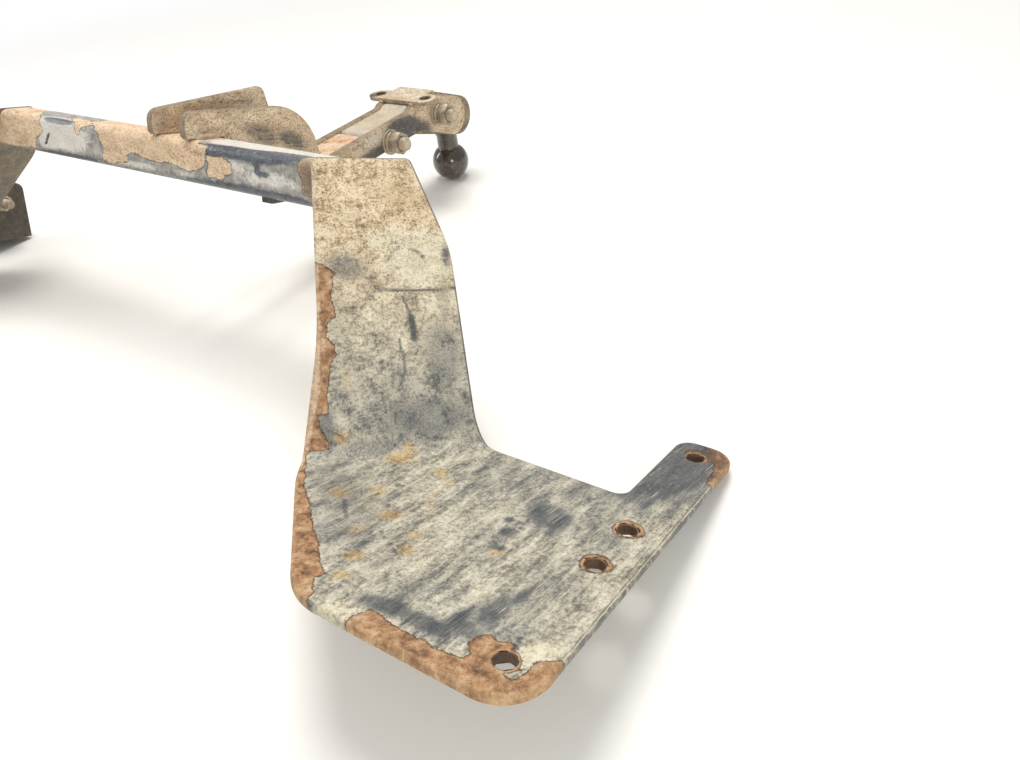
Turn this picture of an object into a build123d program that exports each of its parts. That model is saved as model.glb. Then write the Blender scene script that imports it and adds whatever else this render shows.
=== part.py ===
from build123d import *
"""Welded towbar with a clamped 50 mm ball, lying upside down on its ball and its plate tips.

Level frame: X runs along the crossbar, Y rearwards to the ball and Z up from the floor.
The tips of the side plates touch the floor on the line Y = 0, and X = 0 is the centre plane.
Pitched frame: the level frame turned about X by PITCH, so that the flanges lie flat in it.
At the end everything is shifted so that the origin is below the middle, on the floor.
"""
import os
from math import asin, atan2, cos, hypot, radians, sin, sqrt, tan

# Pose of the frame on the floor
PITCH = 16.5              # turn of the crossbar and side plates about X, degrees

# Side plates, cut from plate and bent once
PLATE_T = 8.0
HOLE_ROW_X = 525.0        # row of chassis holes, from the centre plane
EDGE_MARGIN = 25.0        # from the hole row to the outer edge, and from the last hole to the tip
HOLE_PITCHES = (122.0, 46.0, 100.0)
RAIL_BOLT = 12.0
RAIL_HOLE_PLAY = 1.0
FRONT_MARGIN = 26.0       # from the first hole to the front edge
ARM_WIDTH = 46.0          # finger that carries the rearmost hole
NOTCH_Y = -108.0          # rear edge between the finger and the neck
FRONT_INNER_R = 48.0
FRONT_OUTER_R = 30.0
FINGER_TIP_R = 20.0
FINGER_INNER_R = 14.0
FINGER_ROOT_R = 9.0
NECK_ROOT_R = 34.0

# Bends, and the neck of the right side plate
BEND_X = 334.8            # middle of the bend line, from the centre plane
BEND_Y = -161.6           # and from the tips
NECK_TURN = 45.0          # plan angle of the neck, inboard and rearwards
BEND_ANGLE = 51.0
BEND_R = 18.0             # on the hollow side
NECK_WIDTH = 137.0        # at the bend
NECK_LENGTH = 250.0       # from the bend to the crossbar end
NECK_TOP_IN = 19.0        # how far the inboard edge is drawn in at the top
NECK_TOP_OUT = 37.0       # and the outboard edge
NECK_SHOULDER = 84.0      # length of the slanted corner below the top
SHOULDER_OUT = 9.0        # how far the outboard edge is drawn in at the shoulder
SHOULDER_R = 45.0
NECK_TOP_R = 12.0
NECK_WAIST_R = 150.0
NECK_WAIST_START = -20.0  # along the neck, from the bend
NECK_WAIST_END = 60.0

# Neck of the left side plate, which leaves its flange more squarely
LEFT_BEND_X = 447.0
LEFT_BEND_Y = -150.0
LEFT_TURN = 10.0
LEFT_BEND_MARGIN = 18.5   # flange ahead of the neck, from the middle of the bend
LEFT_FRONT_R = 30.0
LEFT_FOOT = 60.0          # front edge of the neck at its foot, ahead of the bend's middle
LEFT_FOOT_R = 60.0
LEFT_COVER_FRONT = 12.0   # of the neck's top beyond the crossbar
LEFT_COVER_REAR = 6.0
LEFT_TOP_DROP = 4.0       # of its top edge below the right one
LEFT_SHOULDER = 44.0      # of the slanted corner below the top, in plan
LEFT_SHOULDER_OUT = 23.0
LEFT_SHOULDER_R = 18.0
LEFT_ROOT_R = 20.0

# Crossbar
TUBE = 40.0
TUBE_WALL = 4.0
TUBE_CORNER_R = 7.0
TUBE_SETBACK = 4.6        # tube centre ahead of the middle of the neck's top edge

# Cheek plates and what is clamped between them
CHEEK_T = 8.0
CORE_WIDTH = 40.0         # gap between the cheek plates
ARM_TOP = 130.0
ARM_BOTTOM = 100.0
ARM_KNEE_Y = 150.0        # where the lower edge turns up to the crossbar
HEAD_TOP = 134.0
HEAD_START_Y = 290.0
HEAD_DROP_Y = 302.0       # where the lower edge of the head begins to drop
FIN_FRONT_R = 12.0
FIN_OVERHANG = 3.0        # ahead of the crossbar's front face
NEAR_FIN_RISE = 25.0      # above the crossbar
NEAR_FIN_REAR = 109.0     # behind the rear face of the crossbar
NEAR_FIN_ROUND = 0.94     # radius of its rear corner, of its height above the arm
FAR_FIN_RISE = 23.0
FAR_FIN_REAR_RISE = 40.5
FAR_FIN_REAR = 94.0
FAR_FIN_ROUND = 0.1
FIN_ROOT_R = 10.0
FIN_ROOT_BACK = 2.0       # of the fin's foot behind its top corner

# Ball forging
BALL_D = 50.0
BALL_FLAT = 0.6           # depth of the small flat on the crown, which rests on the floor
BALL_Y = 383.0            # ball axis behind the tips
NECK_D = 28.5
BALL_NECK_R = 4.0
FORGING_R = 25.0          # round rear of the forging
FORGING_BACK = 12.0       # its centre behind the ball axis
FORGING_Z = 86.0
FORGING_SLOPE_BACK = 12.0  # of the start of its slope behind the cheek plates'
FORGING_DROP = 3.0        # its underside below the cheek plates'
FORGING_DROP_AHEAD = 8.0  # and where it begins to drop, ahead of theirs
NECK_ROOT = 24.0          # how far the ball's neck runs up into it
TONGUE_START_Y = 208.0
TONGUE_INSET = 1.0        # its top edge below the cheek plates'
TONGUE_PLAY = 0.3         # on each side, between the cheeks
TONGUE_CHAMFER = 1.5
CHEEK_REAR_R = 24.5       # round rear of the cheek plates
CHEEK_REAR_Y = 371.0
CHEEK_REAR_Z = 95.0
HEAD_SLOPE_Y = 337.0      # where the top edge begins to slope down
HEAD_R = 20.0             # where the head's edges turn
HEAD_STEP_R = 6.0
ARM_KNEE_R = 40.0
ROUND_END_SHARE = 0.97    # of the full radius, at each corner of a round end

# Clamp bolts, M16
BOLT_Z = 109.0
BOLT_YS = (241.0, 338.0)
BOLT_D = 16.0
BOLT_PLAY = 1.0
BOLT_AF = 24.0
BOLT_HEAD = 10.0
BOLT_NUT = 13.0
BOLT_WASHER_D = 30.0
BOLT_WASHER_T = 3.0
SPRING_WASHER_D = 26.0
SPRING_WASHER_T = 3.5
SPRING_GAP = 2.5
SPRING_LEAN = 30.0        # of the slit in the ring
BOLT_OVERHANG = 8.0       # thread beyond the nut
THREAD_PLAY = 0.2
CORNER_SLOPE = 60.0       # of a hexagon's sloped corners, from the bolt's axis

# Box between the cheeks, ahead of the forging
SPACER_START_Y = 120.0
SPACER_GAP = 4.0
SPACER_WALL = 4.0
SPACER_R = 5.5            # outside corners
SPACER_DROP = 1.5         # below the cheek edges, for the weld

# Eye plate across the head
EYE_PLATE_T = 5.0
EYE_PLATE_Y = 317.0
EYE_PLATE_LENGTH = 44.0
EYE_AHEAD = 7.0           # of the eyes before the plate's middle
EYE_SPACING = 71.0
EYE_D = 12.0
EYE_LUG_R = 15.0
EYE_ROOT_WIDTH = 24.0     # of a lug where it leaves the plate
EYE_PLATE_R = 3.0

# Tab under the crossbar
TAB_X = 119.0
TAB_LENGTH = 15.0
TAB_T = 5.0
TAB_DEPTH = 16.0
TAB_R = 3.0

# Angle bracket on the left plate's finger
ANGLE_T = 8.0
ANGLE_HEIGHT = 74.0
ANGLE_LENGTH = 80.0
ANGLE_FACE_X = 471.0      # inboard face of its upright leg
ANGLE_R = 10.0
STUD_Y = -18.0
STUD_UP = 52.0            # height of its bolt above the flange
STUD_D = 12.0
STUD_AF = 19.0
STUD_HEAD = 7.5
STUD_NUT = 10.8
STUD_WASHER_D = 24.0
STUD_WASHER_T = 2.5
STUD_OVERHANG = 14.0

# Weld beads, as the leg of the fillet
WELD = 6.0
SMALL_WELD = 4.0
WELD_CROWN = 0.62         # of the leg, where the face of a bead stands proud

plate_hole_d = RAIL_BOLT + RAIL_HOLE_PLAY
outer_x = HOLE_ROW_X + EDGE_MARGIN
hole_ys = [-EDGE_MARGIN]
for gap in HOLE_PITCHES:
    hole_ys.append(hole_ys[-1] - gap)
front_y = hole_ys[-1] - FRONT_MARGIN
neck_top = PLATE_T + NECK_LENGTH * sin(radians(BEND_ANGLE))
neck_run = NECK_LENGTH * cos(radians(BEND_ANGLE))
left_length = NECK_LENGTH - LEFT_TOP_DROP / sin(radians(BEND_ANGLE))
left_run = left_length * cos(radians(BEND_ANGLE))
tube_top = neck_top - PLATE_T * cos(radians(BEND_ANGLE))
tube_z = tube_top - TUBE / 2
cheek_out = CORE_WIDTH / 2 + CHEEK_T
ball_z = BALL_D / 2 - BALL_FLAT
bolt_hole_d = BOLT_D + BOLT_PLAY


# Middle of each plate's bend line, and the plan angle of its neck
right_bend = (BEND_X, BEND_Y, radians(NECK_TURN))
left_bend = (LEFT_BEND_X, LEFT_BEND_Y, radians(LEFT_TURN))


def neck_point(across, along, bend=right_bend):
    """Plan position, in the pitched frame, from the bend's middle: across and along the neck."""
    bend_x, bend_y, turn = bend
    x = bend_x + across * sin(turn) - along * cos(turn)
    y = bend_y + across * cos(turn) + along * sin(turn)
    return x, y


def across_at(y, along, bend):
    """How far across the neck a given Y lies, at a distance along it."""
    _, bend_y, turn = bend
    return (y - bend_y - along * sin(turn)) / cos(turn)


neck_mid = (NECK_TOP_IN - NECK_TOP_OUT) / 2
tube_y = neck_point(neck_mid, neck_run)[1] - TUBE_SETBACK


def level(y, z):
    """Level (Y, Z) of a point given in the pitched frame."""
    turn = radians(PITCH)
    return y * cos(turn) + z * sin(turn), z * cos(turn) - y * sin(turn)


def tangent_corner(point, centre, radius, side):
    """Corner where the tangent from a point to a round end meets the end's rearmost line."""
    dy = centre[0] - point[0]
    dz = centre[1] - point[1]
    angle = atan2(dz, dy) + side * asin(radius / hypot(dy, dz))
    rear = centre[0] + radius
    return rear, point[1] + tan(angle) * (rear - point[0]), radius * ROUND_END_SHARE


def rounded(corners):
    """Face with corners given as (x, y, radius)."""
    face = make_face(Polyline([(x, y) for x, y, _ in corners], close=True))
    for x, y, radius in corners:
        if radius:
            face = fillet(face.vertices().sort_by_distance((x, y, 0))[0], radius)
    return face


def across_x(face, start, thickness):
    """Plate from a face drawn in level (Y, Z), standing from X = start."""
    return extrude(Plane.YZ.offset(start) * face, thickness)


def mirrored(solid):
    """The same piece on the other side of the centre plane."""
    return mirror(solid, about=Plane.YZ)


def bend_plane(bend):
    """Section plane of a neck: local x along the neck, local y up."""
    bend_x, bend_y, turn = bend
    along = (-cos(turn), sin(turn), 0)
    return Plane(origin=(bend_x, bend_y, 0), x_dir=along, z_dir=(sin(turn), cos(turn), 0))


def bent_sheet(bend, length):
    """Wide bent sheet that a side plate's outline is cut from, with its neck's length."""
    slope = radians(BEND_ANGLE)
    far = -2 * HOLE_ROW_X
    end_x = length * cos(slope)
    end_z = PLATE_T + length * sin(slope)
    back_x = end_x + PLATE_T * sin(slope)
    back_z = end_z - PLATE_T * cos(slope)
    under_x = PLATE_T * tan(slope / 2)
    section = rounded([
        (far, 0, 0),
        (under_x, 0, BEND_R + PLATE_T),
        (back_x, back_z, 0),
        (end_x, end_z, 0),
        (0, PLATE_T, BEND_R),
        (far, PLATE_T, 0),
    ])
    return extrude(bend_plane(bend) * section, HOLE_ROW_X, both=True)


def right_outline():
    """Outline of the right side plate in plan."""
    half = NECK_WIDTH / 2
    inner_x = outer_x - ARM_WIDTH
    beyond = neck_run + 2 * PLATE_T
    shoulder = neck_run - NECK_SHOULDER * cos(radians(BEND_ANGLE))
    corner_along = (front_y - BEND_Y) * sqrt(2) + half
    root_along = (NOTCH_Y - BEND_Y) * sqrt(2) - half
    return rounded([
        (outer_x, 0, FINGER_TIP_R),
        (outer_x, front_y, FRONT_OUTER_R),
        (*neck_point(-half, corner_along), FRONT_INNER_R),
        (*neck_point(-half, NECK_WAIST_START), NECK_WAIST_R),
        (*neck_point(NECK_TOP_IN - half, NECK_WAIST_END), NECK_WAIST_R),
        (*neck_point(NECK_TOP_IN - half, beyond), 0),
        (*neck_point(half - NECK_TOP_OUT, beyond), 0),
        (*neck_point(half - NECK_TOP_OUT, neck_run), NECK_TOP_R),
        (*neck_point(half - SHOULDER_OUT, shoulder), SHOULDER_R),
        (*neck_point(half, root_along), NECK_ROOT_R),
        (inner_x, NOTCH_Y, FINGER_ROOT_R),
        (inner_x, 0, FINGER_INNER_R),
    ])


def left_outline():
    """Outline of the left side plate in plan, drawn on the right side."""
    inner_x = outer_x - ARM_WIDTH
    beyond = left_run + 2 * PLATE_T
    top_front = across_at(tube_y - TUBE / 2, left_run, left_bend) - LEFT_COVER_FRONT
    top_rear = across_at(tube_y + TUBE / 2, left_run, left_bend) + LEFT_COVER_REAR
    shoulder = left_run - LEFT_SHOULDER
    corner = across_at(front_y, -LEFT_BEND_MARGIN, left_bend)
    return rounded([
        (outer_x, 0, FINGER_TIP_R),
        (outer_x, front_y, FRONT_OUTER_R),
        (*neck_point(corner, -LEFT_BEND_MARGIN, left_bend), LEFT_FRONT_R),
        (*neck_point(-LEFT_FOOT, -LEFT_BEND_MARGIN, left_bend), LEFT_FOOT_R),
        (*neck_point(top_front, beyond, left_bend), 0),
        (*neck_point(top_rear, beyond, left_bend), 0),
        (*neck_point(top_rear, left_run, left_bend), NECK_TOP_R),
        (*neck_point(top_rear + LEFT_SHOULDER_OUT, shoulder, left_bend), LEFT_SHOULDER_R),
        (inner_x, NOTCH_Y, LEFT_ROOT_R),
        (inner_x, 0, FINGER_INNER_R),
    ])


def side_plate(bend, length, outline):
    """Side plate on the right: flange with its chassis holes, bend and neck."""
    plate = bent_sheet(bend, length) & extrude(outline, neck_top * 1.1)
    for y in hole_ys:
        plate -= Pos(HOLE_ROW_X, y, PLATE_T / 2) * Cylinder(plate_hole_d / 2, 2 * PLATE_T)
    return plate


def neck_back_plane(bend):
    """Back face of a neck, which closes the crossbar; its normal points outboard."""
    slope = radians(BEND_ANGLE)
    turn = bend[2]
    normal = (sin(slope) * cos(turn), -sin(slope) * sin(turn), cos(slope))
    x, y = neck_point(0, PLATE_T * sin(slope), bend)
    return Plane(origin=(x, y, PLATE_T - PLATE_T * cos(slope)), z_dir=normal)


def mitre(solid):
    """What lies inboard of both necks' back faces."""
    solid = split(solid, bisect_by=neck_back_plane(right_bend), keep=Keep.BOTTOM)
    return mirrored(split(mirrored(solid), bisect_by=neck_back_plane(left_bend), keep=Keep.BOTTOM))


def crossbar():
    """Square tube with its ends mitred to the necks."""
    size = TUBE - 2 * TUBE_WALL
    section = RectangleRounded(TUBE, TUBE, TUBE_CORNER_R)
    section -= RectangleRounded(size, size, TUBE_CORNER_R - TUBE_WALL)
    tube = extrude(Plane.YZ * section, HOLE_ROW_X, both=True)
    return mitre(Pos(0, tube_y, tube_z) * tube)


def cheek_outline(front_rise, rear_rise, rear, rear_round):
    """Level (Y, Z) outline of a cheek plate: fin over the crossbar, arm and round head."""
    front = tube_y - TUBE / 2
    back = tube_y + TUBE / 2
    fin_top = level(back + rear, tube_top + rear_rise)
    head = (HEAD_SLOPE_Y, HEAD_TOP)
    drop = (HEAD_DROP_Y, ARM_BOTTOM)
    centre = (CHEEK_REAR_Y, CHEEK_REAR_Z)
    return rounded([
        (*level(front, tube_top), 0),
        (*level(front - FIN_OVERHANG, tube_top + FIN_OVERHANG), 0),
        (*level(front - FIN_OVERHANG, tube_top + front_rise), FIN_FRONT_R),
        (*fin_top, rear_round * (fin_top[1] - ARM_TOP)),
        (fin_top[0] + FIN_ROOT_BACK, ARM_TOP, FIN_ROOT_R),
        (HEAD_START_Y - 2 * (HEAD_TOP - ARM_TOP), ARM_TOP, HEAD_STEP_R),
        (HEAD_START_Y, HEAD_TOP, HEAD_STEP_R),
        (*head, HEAD_R),
        tangent_corner(head, centre, CHEEK_REAR_R, 1),
        tangent_corner(drop, centre, CHEEK_REAR_R, -1),
        (*drop, HEAD_R),
        (ARM_KNEE_Y, ARM_BOTTOM, ARM_KNEE_R),
        (*level(back, tube_top - TUBE), 0),
        (*level(back, tube_top), 0),
    ])


def cheek(start, outline):
    """Cheek plate with its two clamp holes."""
    plate = across_x(outline, start, CHEEK_T)
    hole = Rot(0, 90, 0) * Cylinder(bolt_hole_d / 2, 3 * CHEEK_T)
    for y in BOLT_YS:
        plate -= Pos(start + CHEEK_T / 2, y, BOLT_Z) * hole
    return plate


def tongue_outline():
    """Level (Y, Z) outline of the forging between the cheeks."""
    head = (HEAD_SLOPE_Y + FORGING_SLOPE_BACK, HEAD_TOP - TONGUE_INSET)
    drop = (HEAD_DROP_Y - FORGING_DROP_AHEAD, ARM_BOTTOM - FORGING_DROP)
    arm_top = ARM_TOP - TONGUE_INSET
    centre = (BALL_Y + FORGING_BACK, FORGING_Z)
    return rounded([
        (TONGUE_START_Y, drop[1], HEAD_STEP_R),
        (TONGUE_START_Y, arm_top, HEAD_STEP_R),
        (HEAD_START_Y - 2 * (HEAD_TOP - ARM_TOP), arm_top, HEAD_STEP_R),
        (HEAD_START_Y, head[1], HEAD_STEP_R),
        (*head, HEAD_R),
        tangent_corner(head, centre, FORGING_R, 1),
        tangent_corner(drop, centre, FORGING_R, -1),
        (*drop, HEAD_R),
    ])


def tow_ball():
    """Forging: tongue between the cheeks, neck and ball, in one piece."""
    width = CORE_WIDTH - 2 * TONGUE_PLAY
    body = across_x(tongue_outline(), -width / 2, width)
    rims = body.faces().filter_by(Axis.X).edges()
    body = chamfer(rims, TONGUE_CHAMFER)
    neck_height = ball_z + NECK_ROOT
    stem = Pos(0, BALL_Y, ball_z + neck_height / 2) * Cylinder(NECK_D / 2, neck_height)
    ball = Pos(0, BALL_Y, ball_z) * Sphere(BALL_D / 2)
    below = Pos(0, BALL_Y, -BALL_D / 2) * Box(BALL_D, BALL_D, BALL_D)
    knob = (stem + ball) - below
    ring_z = ball_z + sqrt((BALL_D / 2) ** 2 - (NECK_D / 2) ** 2)
    ring = knob.edges().filter_by(GeomType.CIRCLE).sort_by(lambda e: abs(e.center().Z - ring_z))[0]
    knob = fillet(ring, BALL_NECK_R)
    forging = body + knob
    for y in BOLT_YS:
        forging -= Pos(0, y, BOLT_Z) * Rot(0, 90, 0) * Cylinder(bolt_hole_d / 2, 2 * CORE_WIDTH)
    return forging


def hexagon(across_flats, height):
    """Hexagonal prism on Z = 0 with its top corners sloped off."""
    flats = RegularPolygon(across_flats / 2, 6, major_radius=False)
    spread = across_flats / 2 + height * tan(radians(CORNER_SLOPE))
    corners = RegularPolygon(spread, 6, major_radius=False, rotation=30)
    return extrude(flats, height) & extrude(corners, height, taper=CORNER_SLOPE)


def bolt(diameter, across_flats, head, length):
    """Hex bolt along Z, with its head below Z = 0."""
    shank = Pos(0, 0, length / 2) * Cylinder(diameter / 2, length)
    return shank + Rot(180, 0, 0) * hexagon(across_flats, head)


def nut(diameter, across_flats, height):
    """Hex nut on Z = 0, with its bore clear of the bolt."""
    return hexagon(across_flats, height) - Cylinder(diameter / 2 + THREAD_PLAY, 3 * height)


def washer(diameter, outside, thickness):
    """Flat washer on Z = 0."""
    ring = Circle(outside / 2) - Circle(diameter / 2 + THREAD_PLAY)
    return extrude(ring, thickness)


def spring_washer(diameter, outside, thickness):
    """Split ring on Z = 0, flattened by the nut."""
    ring = washer(diameter, outside, thickness)
    slit = Box(outside, SPRING_GAP, 4 * thickness)
    return ring - Pos(outside / 2, 0, 0) * Rot(SPRING_LEAN, 0, 0) * slit


def at_clamp(start, solid):
    """Copies of a fastener piece at both clamp bolts, from X = start towards the right."""
    pieces = []
    for y in BOLT_YS:
        pieces.append(Pos(start, y, BOLT_Z) * Rot(0, 90, 0) * solid)
    return pieces


def spacer():
    """Box-section spacer between the cheeks, ahead of the forging."""
    end_y = TONGUE_START_Y - SPACER_GAP
    height = ARM_TOP - ARM_BOTTOM - 2 * SPACER_DROP
    section = RectangleRounded(CORE_WIDTH, height, SPACER_R)
    inside = SPACER_R - SPACER_WALL
    section -= RectangleRounded(CORE_WIDTH - 2 * SPACER_WALL, height - 2 * SPACER_WALL, inside)
    box = extrude(Plane.XZ * section, -(end_y - SPACER_START_Y))
    return Pos(0, SPACER_START_Y, (ARM_TOP + ARM_BOTTOM) / 2) * box


def eye_plate():
    """Flat plate across the head with a round lug and an eye on each side."""
    lugs = Sketch()
    eyes = Sketch()
    for side in (-1, 1):
        lugs += Pos(side * EYE_SPACING / 2, -EYE_AHEAD) * Circle(EYE_LUG_R)
        eyes += Pos(side * EYE_SPACING / 2, -EYE_AHEAD) * Circle(EYE_D / 2)
    bar = Pos(0, -EYE_AHEAD) * Rectangle(EYE_SPACING, EYE_ROOT_WIDTH)
    saddle = RectangleRounded(2 * cheek_out, EYE_PLATE_LENGTH, EYE_PLATE_R)
    face = bar + saddle + lugs - eyes
    return Pos(0, EYE_PLATE_Y, HEAD_TOP) * extrude(face, EYE_PLATE_T)


def tab():
    """Small plate welded under the crossbar, square to it."""
    face = RectangleRounded(TAB_LENGTH, TAB_DEPTH, TAB_R)
    y = tube_y - TUBE / 2 + TUBE_CORNER_R + TAB_DEPTH / 2
    return Pos(TAB_X, y, tube_top - TUBE - TAB_T) * extrude(face, TAB_T)


def angle_bracket():
    """Angle on the left flange: a flat leg over the rearmost hole and an upright leg inboard."""
    middle = hole_ys[0]
    width = outer_x - ANGLE_FACE_X
    flat = Pos(-outer_x + width / 2, middle) * Rectangle(width, ANGLE_LENGTH)
    leg = extrude(flat, ANGLE_T)
    upright = Pos(middle, ANGLE_HEIGHT / 2) * RectangleRounded(ANGLE_LENGTH, ANGLE_HEIGHT, ANGLE_R)
    upright += Pos(middle, ANGLE_T / 2 + ANGLE_R / 2) * Rectangle(ANGLE_LENGTH, ANGLE_T + ANGLE_R)
    upright = extrude(Plane.YZ.offset(-ANGLE_FACE_X - ANGLE_T) * upright, ANGLE_T)
    bracket = leg + upright
    bracket -= Pos(-HOLE_ROW_X, middle, 0) * Cylinder(plate_hole_d / 2, 4 * ANGLE_T)
    stud_hole = Cylinder((STUD_D + BOLT_PLAY) / 2, 4 * ANGLE_T)
    bracket -= Pos(-ANGLE_FACE_X, STUD_Y, STUD_UP) * Rot(0, 90, 0) * stud_hole
    return Pos(0, 0, PLATE_T) * bracket


def at_stud(start, solid):
    """A fastener piece on the bracket's bolt, from X = start towards the right."""
    return Pos(start, STUD_Y, PLATE_T + STUD_UP) * Rot(0, 90, 0) * solid


def fillet_bead(leg):
    """Right-angled section of a weld bead with a slightly proud face."""
    crown = leg * WELD_CROWN
    return make_face(Polyline((0, 0), (leg, 0), (crown, crown), (0, leg), close=True))


def cheek_beads():
    """Beads between the outer faces of the cheeks and the top of the crossbar."""
    bead = fillet_bead(WELD)
    length = TUBE - 2 * TUBE_CORNER_R
    beads = []
    for side in (-1, 1):
        section = bead if side > 0 else mirror(bead, about=Plane.YZ)
        solid = extrude(Plane.XZ * section, length / 2, both=True)
        beads.append(Pos(side * cheek_out, tube_y, tube_top) * solid)
    return Compound(beads)


def rear_beads():
    """Beads between the outer faces of the cheeks and the rear face of the crossbar."""
    bead = fillet_bead(WELD)
    length = TUBE - 2 * TUBE_CORNER_R
    beads = []
    for side in (-1, 1):
        section = bead if side > 0 else mirror(bead, about=Plane.YZ)
        solid = extrude(section, length / 2, both=True)
        beads.append(Pos(side * cheek_out, tube_y + TUBE / 2, tube_z) * solid)
    return Compound(beads)


def angle_bead():
    """Bead along the rear end of the angle bracket's flat leg."""
    bead = fillet_bead(SMALL_WELD)
    section = mirror(bead, about=Plane.YZ)
    length = ARM_WIDTH - FINGER_TIP_R
    start_y = hole_ys[0] - ANGLE_LENGTH / 2
    solid = extrude(Plane.YZ * section, length / 2, both=True)
    return Pos(-outer_x + ARM_WIDTH / 2, start_y, PLATE_T) * solid


def eye_beads():
    """Beads along the eye plate's front edge, on the top edges of the cheeks."""
    bead = mirror(fillet_bead(SMALL_WELD), about=Plane.YZ)
    beads = []
    for side in (-1, 1):
        x = side * (cheek_out - CHEEK_T / 2)
        solid = extrude(Plane.YZ * bead, CHEEK_T / 2, both=True)
        beads.append(Pos(x, EYE_PLATE_Y - EYE_PLATE_LENGTH / 2, HEAD_TOP) * solid)
    return Compound(beads)


pitched = Rot(-PITCH, 0, 0)
right_plate = side_plate(right_bend, NECK_LENGTH, right_outline())
left_plate = side_plate(left_bend, left_length, left_outline())
near_cheek = cheek_outline(NEAR_FIN_RISE, NEAR_FIN_RISE, NEAR_FIN_REAR, NEAR_FIN_ROUND)
far_cheek = cheek_outline(FAR_FIN_RISE, FAR_FIN_REAR_RISE, FAR_FIN_REAR, FAR_FIN_ROUND)
clamp_length = 2 * cheek_out + BOLT_WASHER_T + SPRING_WASHER_T + BOLT_NUT + BOLT_OVERHANG
nut_seat = cheek_out + BOLT_WASHER_T + SPRING_WASHER_T
stud_head = -ANGLE_FACE_X - ANGLE_T
stud_length = ANGLE_T + STUD_WASHER_T + STUD_NUT + STUD_OVERHANG
stud_washer = washer(STUD_D, STUD_WASHER_D, STUD_WASHER_T)
clamp_bolt = bolt(BOLT_D, BOLT_AF, BOLT_HEAD, clamp_length)
clamp_washer = washer(BOLT_D, BOLT_WASHER_D, BOLT_WASHER_T)

pieces = {
    "crossbar": pitched * crossbar(),
    "right_side_plate": pitched * right_plate,
    "left_side_plate": pitched * mirrored(left_plate),
    "right_cheek_plate": cheek(CORE_WIDTH / 2, near_cheek),
    "left_cheek_plate": cheek(-cheek_out, far_cheek),
    "arm_spacer": spacer(),
    "tow_ball": tow_ball(),
    "clamp_bolts": Compound(at_clamp(-cheek_out, clamp_bolt)),
    "clamp_washers": Compound(at_clamp(cheek_out, clamp_washer)),
    "clamp_spring_washers": Compound(at_clamp(
        cheek_out + BOLT_WASHER_T, spring_washer(BOLT_D, SPRING_WASHER_D, SPRING_WASHER_T)
    )),
    "clamp_nuts": Compound(at_clamp(nut_seat, nut(BOLT_D, BOLT_AF, BOLT_NUT))),
    "eye_plate": eye_plate(),
    "crossbar_tab": pitched * tab(),
    "angle_bracket": pitched * angle_bracket(),
    "bracket_bolt": pitched * at_stud(stud_head, bolt(STUD_D, STUD_AF, STUD_HEAD, stud_length)),
    "bracket_washer": pitched * at_stud(-ANGLE_FACE_X, stud_washer),
    "bracket_nut": pitched * at_stud(-ANGLE_FACE_X + STUD_WASHER_T, nut(STUD_D, STUD_AF, STUD_NUT)),
    "cheek_top_welds": pitched * cheek_beads(),
    "cheek_rear_welds": pitched * rear_beads(),
    "eye_plate_welds": eye_beads(),
    "bracket_weld": pitched * angle_bead(),
}

box = Compound([solid for piece in pieces.values() for solid in piece.solids()]).bounding_box()
to_origin = Pos(-(box.min.X + box.max.X) / 2, -(box.min.Y + box.max.Y) / 2, -box.min.Z)

os.makedirs("parts", exist_ok=True)
for name, piece in pieces.items():
    export_step(to_origin * piece, f"parts/{name}.step")
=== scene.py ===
import bpy
import bmesh
import numpy as np
from math import asin, atan2, ceil, cos, hypot, pi, radians, sin, sqrt, tan
from mathutils import Matrix, Vector, geometry, noise


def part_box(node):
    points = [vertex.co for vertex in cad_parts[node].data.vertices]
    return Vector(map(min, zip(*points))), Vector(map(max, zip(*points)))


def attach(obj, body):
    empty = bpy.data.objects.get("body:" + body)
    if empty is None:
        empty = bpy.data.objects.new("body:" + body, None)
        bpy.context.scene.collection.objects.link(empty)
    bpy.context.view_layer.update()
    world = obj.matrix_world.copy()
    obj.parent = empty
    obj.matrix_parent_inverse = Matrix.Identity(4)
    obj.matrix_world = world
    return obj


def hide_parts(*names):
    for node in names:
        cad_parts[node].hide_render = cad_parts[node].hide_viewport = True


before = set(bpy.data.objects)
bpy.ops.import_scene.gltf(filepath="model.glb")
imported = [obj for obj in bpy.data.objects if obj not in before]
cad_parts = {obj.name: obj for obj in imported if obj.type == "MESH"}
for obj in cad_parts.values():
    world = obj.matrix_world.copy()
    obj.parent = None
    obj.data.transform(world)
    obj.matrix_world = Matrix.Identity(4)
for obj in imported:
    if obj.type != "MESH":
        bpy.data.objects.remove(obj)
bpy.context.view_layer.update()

# Sizes in millimetres, the same as in the CAD source
MM = 0.001
PITCH = radians(16.5)
PLATE_T = 8.0
RIGHT_BEND = (334.8, -161.6, radians(45.0))
LEFT_BEND = (447.0, -150.0, radians(10.0))
BEND_R = 18.0
SLOPE = radians(51.0)
TANGENT = BEND_R * tan(SLOPE / 2)
HALF = 68.5               # of the right neck's width at its bend
NECK_RUN = 250.0 * cos(SLOPE)
LEFT_RUN = NECK_RUN - 4.0 / tan(SLOPE)
OUTER_X = 550.0
FINGER_X = 504.0
NOTCH_Y = -108.0
FRONT_Y = -319.0
FINGER_TIP_R = 20.0
FINGER_INNER_R = 14.0
FRONT_R = 30.0
HOLE_X = 525.0
HOLE_YS = (-25.0, -147.0, -193.0, -293.0)
HOLE_R = 6.5
TUBE = 40.0
TUBE_R = 7.0
TUBE_Y = -61.31
TUBE_TOP = 197.25
CHEEK_T = 8.0
CORE = 40.0
CHEEK_OUT = CORE / 2 + CHEEK_T
ARM_TOP = 130.0
ARM_BOTTOM = 100.0
HEAD_TOP = 134.0
HEAD_START = 290.0
HEAD_STEP = 282.0
HEAD_R = 20.0
STEP_R = 6.0
CHEEK_REAR = (371.0, 95.0)
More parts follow.
